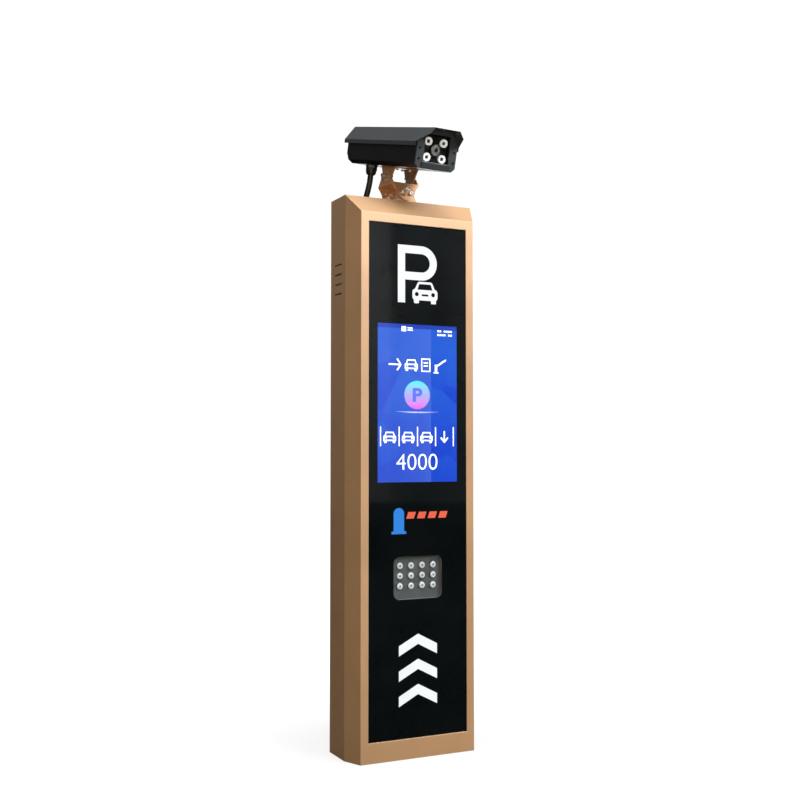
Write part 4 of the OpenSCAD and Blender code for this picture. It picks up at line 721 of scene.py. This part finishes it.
def smooth_route(points):
    """A smooth curve through the points, the same that the CAD lead follows, in metres."""
    steps = 6
    ends = [Vector(points[0])] + [Vector(p) for p in points] + [Vector(points[-1])]
    route = []
    for before, here, there, after in zip(ends, ends[1:], ends[2:], ends[3:]):
        for k in range(steps):
            t = k / steps
            route.append(0.5 * (2 * here + t * (there - before) + t * t * (2 * before - 5 * here + 4 * there - after)
                                + t * t * t * (3 * here - before - 3 * there + after)))
    return [p / 1000 for p in route + [ends[-1]]]


def round_cord(name, points, radius, sides):
    """A mesh tube along a smooth route."""
    drawn = bpy.data.curves.new(name, "CURVE")
    drawn.dimensions = "3D"
    drawn.bevel_depth = radius
    drawn.bevel_resolution = sides
    drawn.use_fill_caps = True
    route = smooth_route(points)
    line = drawn.splines.new("POLY")
    line.points.add(len(route) - 1)
    for spot, p in zip(line.points, route):
        spot.co = (*p, 1)
    holder = bpy.data.objects.new(name, drawn)
    bpy.context.scene.collection.objects.link(holder)
    mesh = bpy.data.meshes.new_from_object(holder)
    bpy.data.objects.remove(holder)
    return mesh


jacket = finish("lead_jacket", (0.005, 0.0055, 0.006), 0.42, grain=700, peel=0.15, edge_wear_and_highlight=0.0)
whole_lead = round_cord("lead", LEAD_POINTS, LEAD_RADIUS, sides=8)
for name, below, above, start, end in LEAD_BENDS:
    length = bmesh.new()
    length.from_mesh(whole_lead)
    if name != "lead_lower":
        bmesh.ops.bisect_plane(length, geom=length.verts[:] + length.edges[:] + length.faces[:],
                               plane_co=(0, 0, start), plane_no=(0, 0, 1), clear_inner=True)
    if name != "lead_upper":
        bmesh.ops.bisect_plane(length, geom=length.verts[:] + length.edges[:] + length.faces[:],
                               plane_co=(0, 0, end), plane_no=(0, 0, 1), clear_outer=True)
    section = place_piece(name, length, jacket, body=None, smooth=True)
    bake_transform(section)
    if name == "lead_lower":
        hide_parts("camera_lead")

# ---- Wiring -------------------------------------------------------------------------
# Single-core wires with coloured jackets link the rail, the power supply, the
# controller, the speaker and the fan, and pass through the plate to the display and
# the fill lamp.


def run_wires(name, colour, radius, *routes):
    """Wires of one colour, each along its own route in millimetres, as one piece."""
    strands = bmesh.new()
    for route in routes:
        strands.from_mesh(round_cord(name, route, radius, sides=2))
    place_piece(name, strands, finish(name + "_jacket", colour, 0.38, grain=600, peel=0.08, edge_wear_and_highlight=0.0), smooth=True)


MAINS = 0.0016
LOW_VOLTAGE = 0.0014
SIGNAL = 0.0013


run_wires("brown_wires", (0.10, 0.035, 0.015), MAINS,
          [(-126, 8, 339), (-126, 8, 356), (-112, 10, 366), (-40, 10, 368), (24, 9, 362), (32, 8, 346),
           (32, 8, 324)],
          [(50, 8, 324), (50, 8, 350), (46, 6, 400), (44, 2, 480), (42, -2, 540), (42, -3, 561)])
run_wires("blue_wires", (0.02, 0.09, 0.42), MAINS,
          [(-114, 8, 339), (-114, 8, 352), (-102, 14, 360), (-40, 14, 362), (30, 13, 358), (42, 10, 344),
           (42, 8, 324)],
          [(60, 8, 324), (60, 8, 350), (54, 6, 400), (52, 2, 480), (50, -2, 540), (50, -3, 561)])
run_wires("earth_wires", (0.12, 0.32, 0.05), MAINS,
          [(70, 8, 324), (70, 9, 344), (66, 7, 400), (62, 3, 480), (56, -1, 540), (54, -3, 561)],
          [(70, 8, 276), (70, 8, 256), (60, 4, 232), (46, -4, 216), (42, -8, 206)])
run_wires("red_wires", (0.42, 0.02, 0.015), LOW_VOLTAGE,
          [(-40, -3, 774), (-40, 0, 800), (-34, 6, 860), (-24, 8, 940), (-20, 6, 990), (-20, 4, 1011)],
          [(20, -3, 774), (22, -2, 800), (60, -6, 860), (96, -10, 910), (108, -19, 936), (98, -36, 930),
           (74, -44, 912), (60, -48, 905), (52, -50, 905)],
          [(30, -3, 561), (34, -6, 540), (80, -8, 520), (104, -12, 508), (110, -19, 500), (104, -34, 492),
           (84, -46, 482), (68, -54, 474), (64, -56, 470)])
run_wires("black_wires", (0.012, 0.012, 0.013), LOW_VOLTAGE,
          [(-34, -3, 774), (-34, 1, 800), (-28, 7, 860), (-18, 9, 940), (-14, 7, 990), (-14, 4, 1011)],
          [(26, -3, 774), (28, -2, 800), (66, -6, 858), (101, -10, 906), (113, -19, 932), (102, -37, 924),
           (76, -46, 906), (62, -49, 899), (52, -50, 899)],
          [(24, -3, 561), (28, -6, 536), (80, -8, 515), (108, -12, 503), (115, -19, 495), (108, -35, 486),
           (86, -47, 476), (68, -55, 468), (64, -56, 464)])
run_wires("speaker_wires", (0.30, 0.30, 0.28), SIGNAL,
          [(-155, 20, 1204), (-158, 14, 1186), (-154, 6, 1160), (-148, 2, 1140), (-146, 2, 1119)],
          [(-155, 24, 1204), (-158, 18, 1184), (-150, 8, 1156), (-142, 3, 1138), (-140, 2, 1119)])
run_wires("fan_wires", (0.30, 0.02, 0.015), SIGNAL,
          [(164, 8, 1205), (160, 6, 1190), (140, 2, 1160), (90, -4, 1130), (50, 0, 1080), (34, 6, 1060),
           (24, 8, 1056)],
          [(168, 8, 1205), (164, 4, 1188), (142, -1, 1154), (92, -8, 1124), (52, -3, 1074), (36, 3, 1053),
           (24, 5, 1050)])
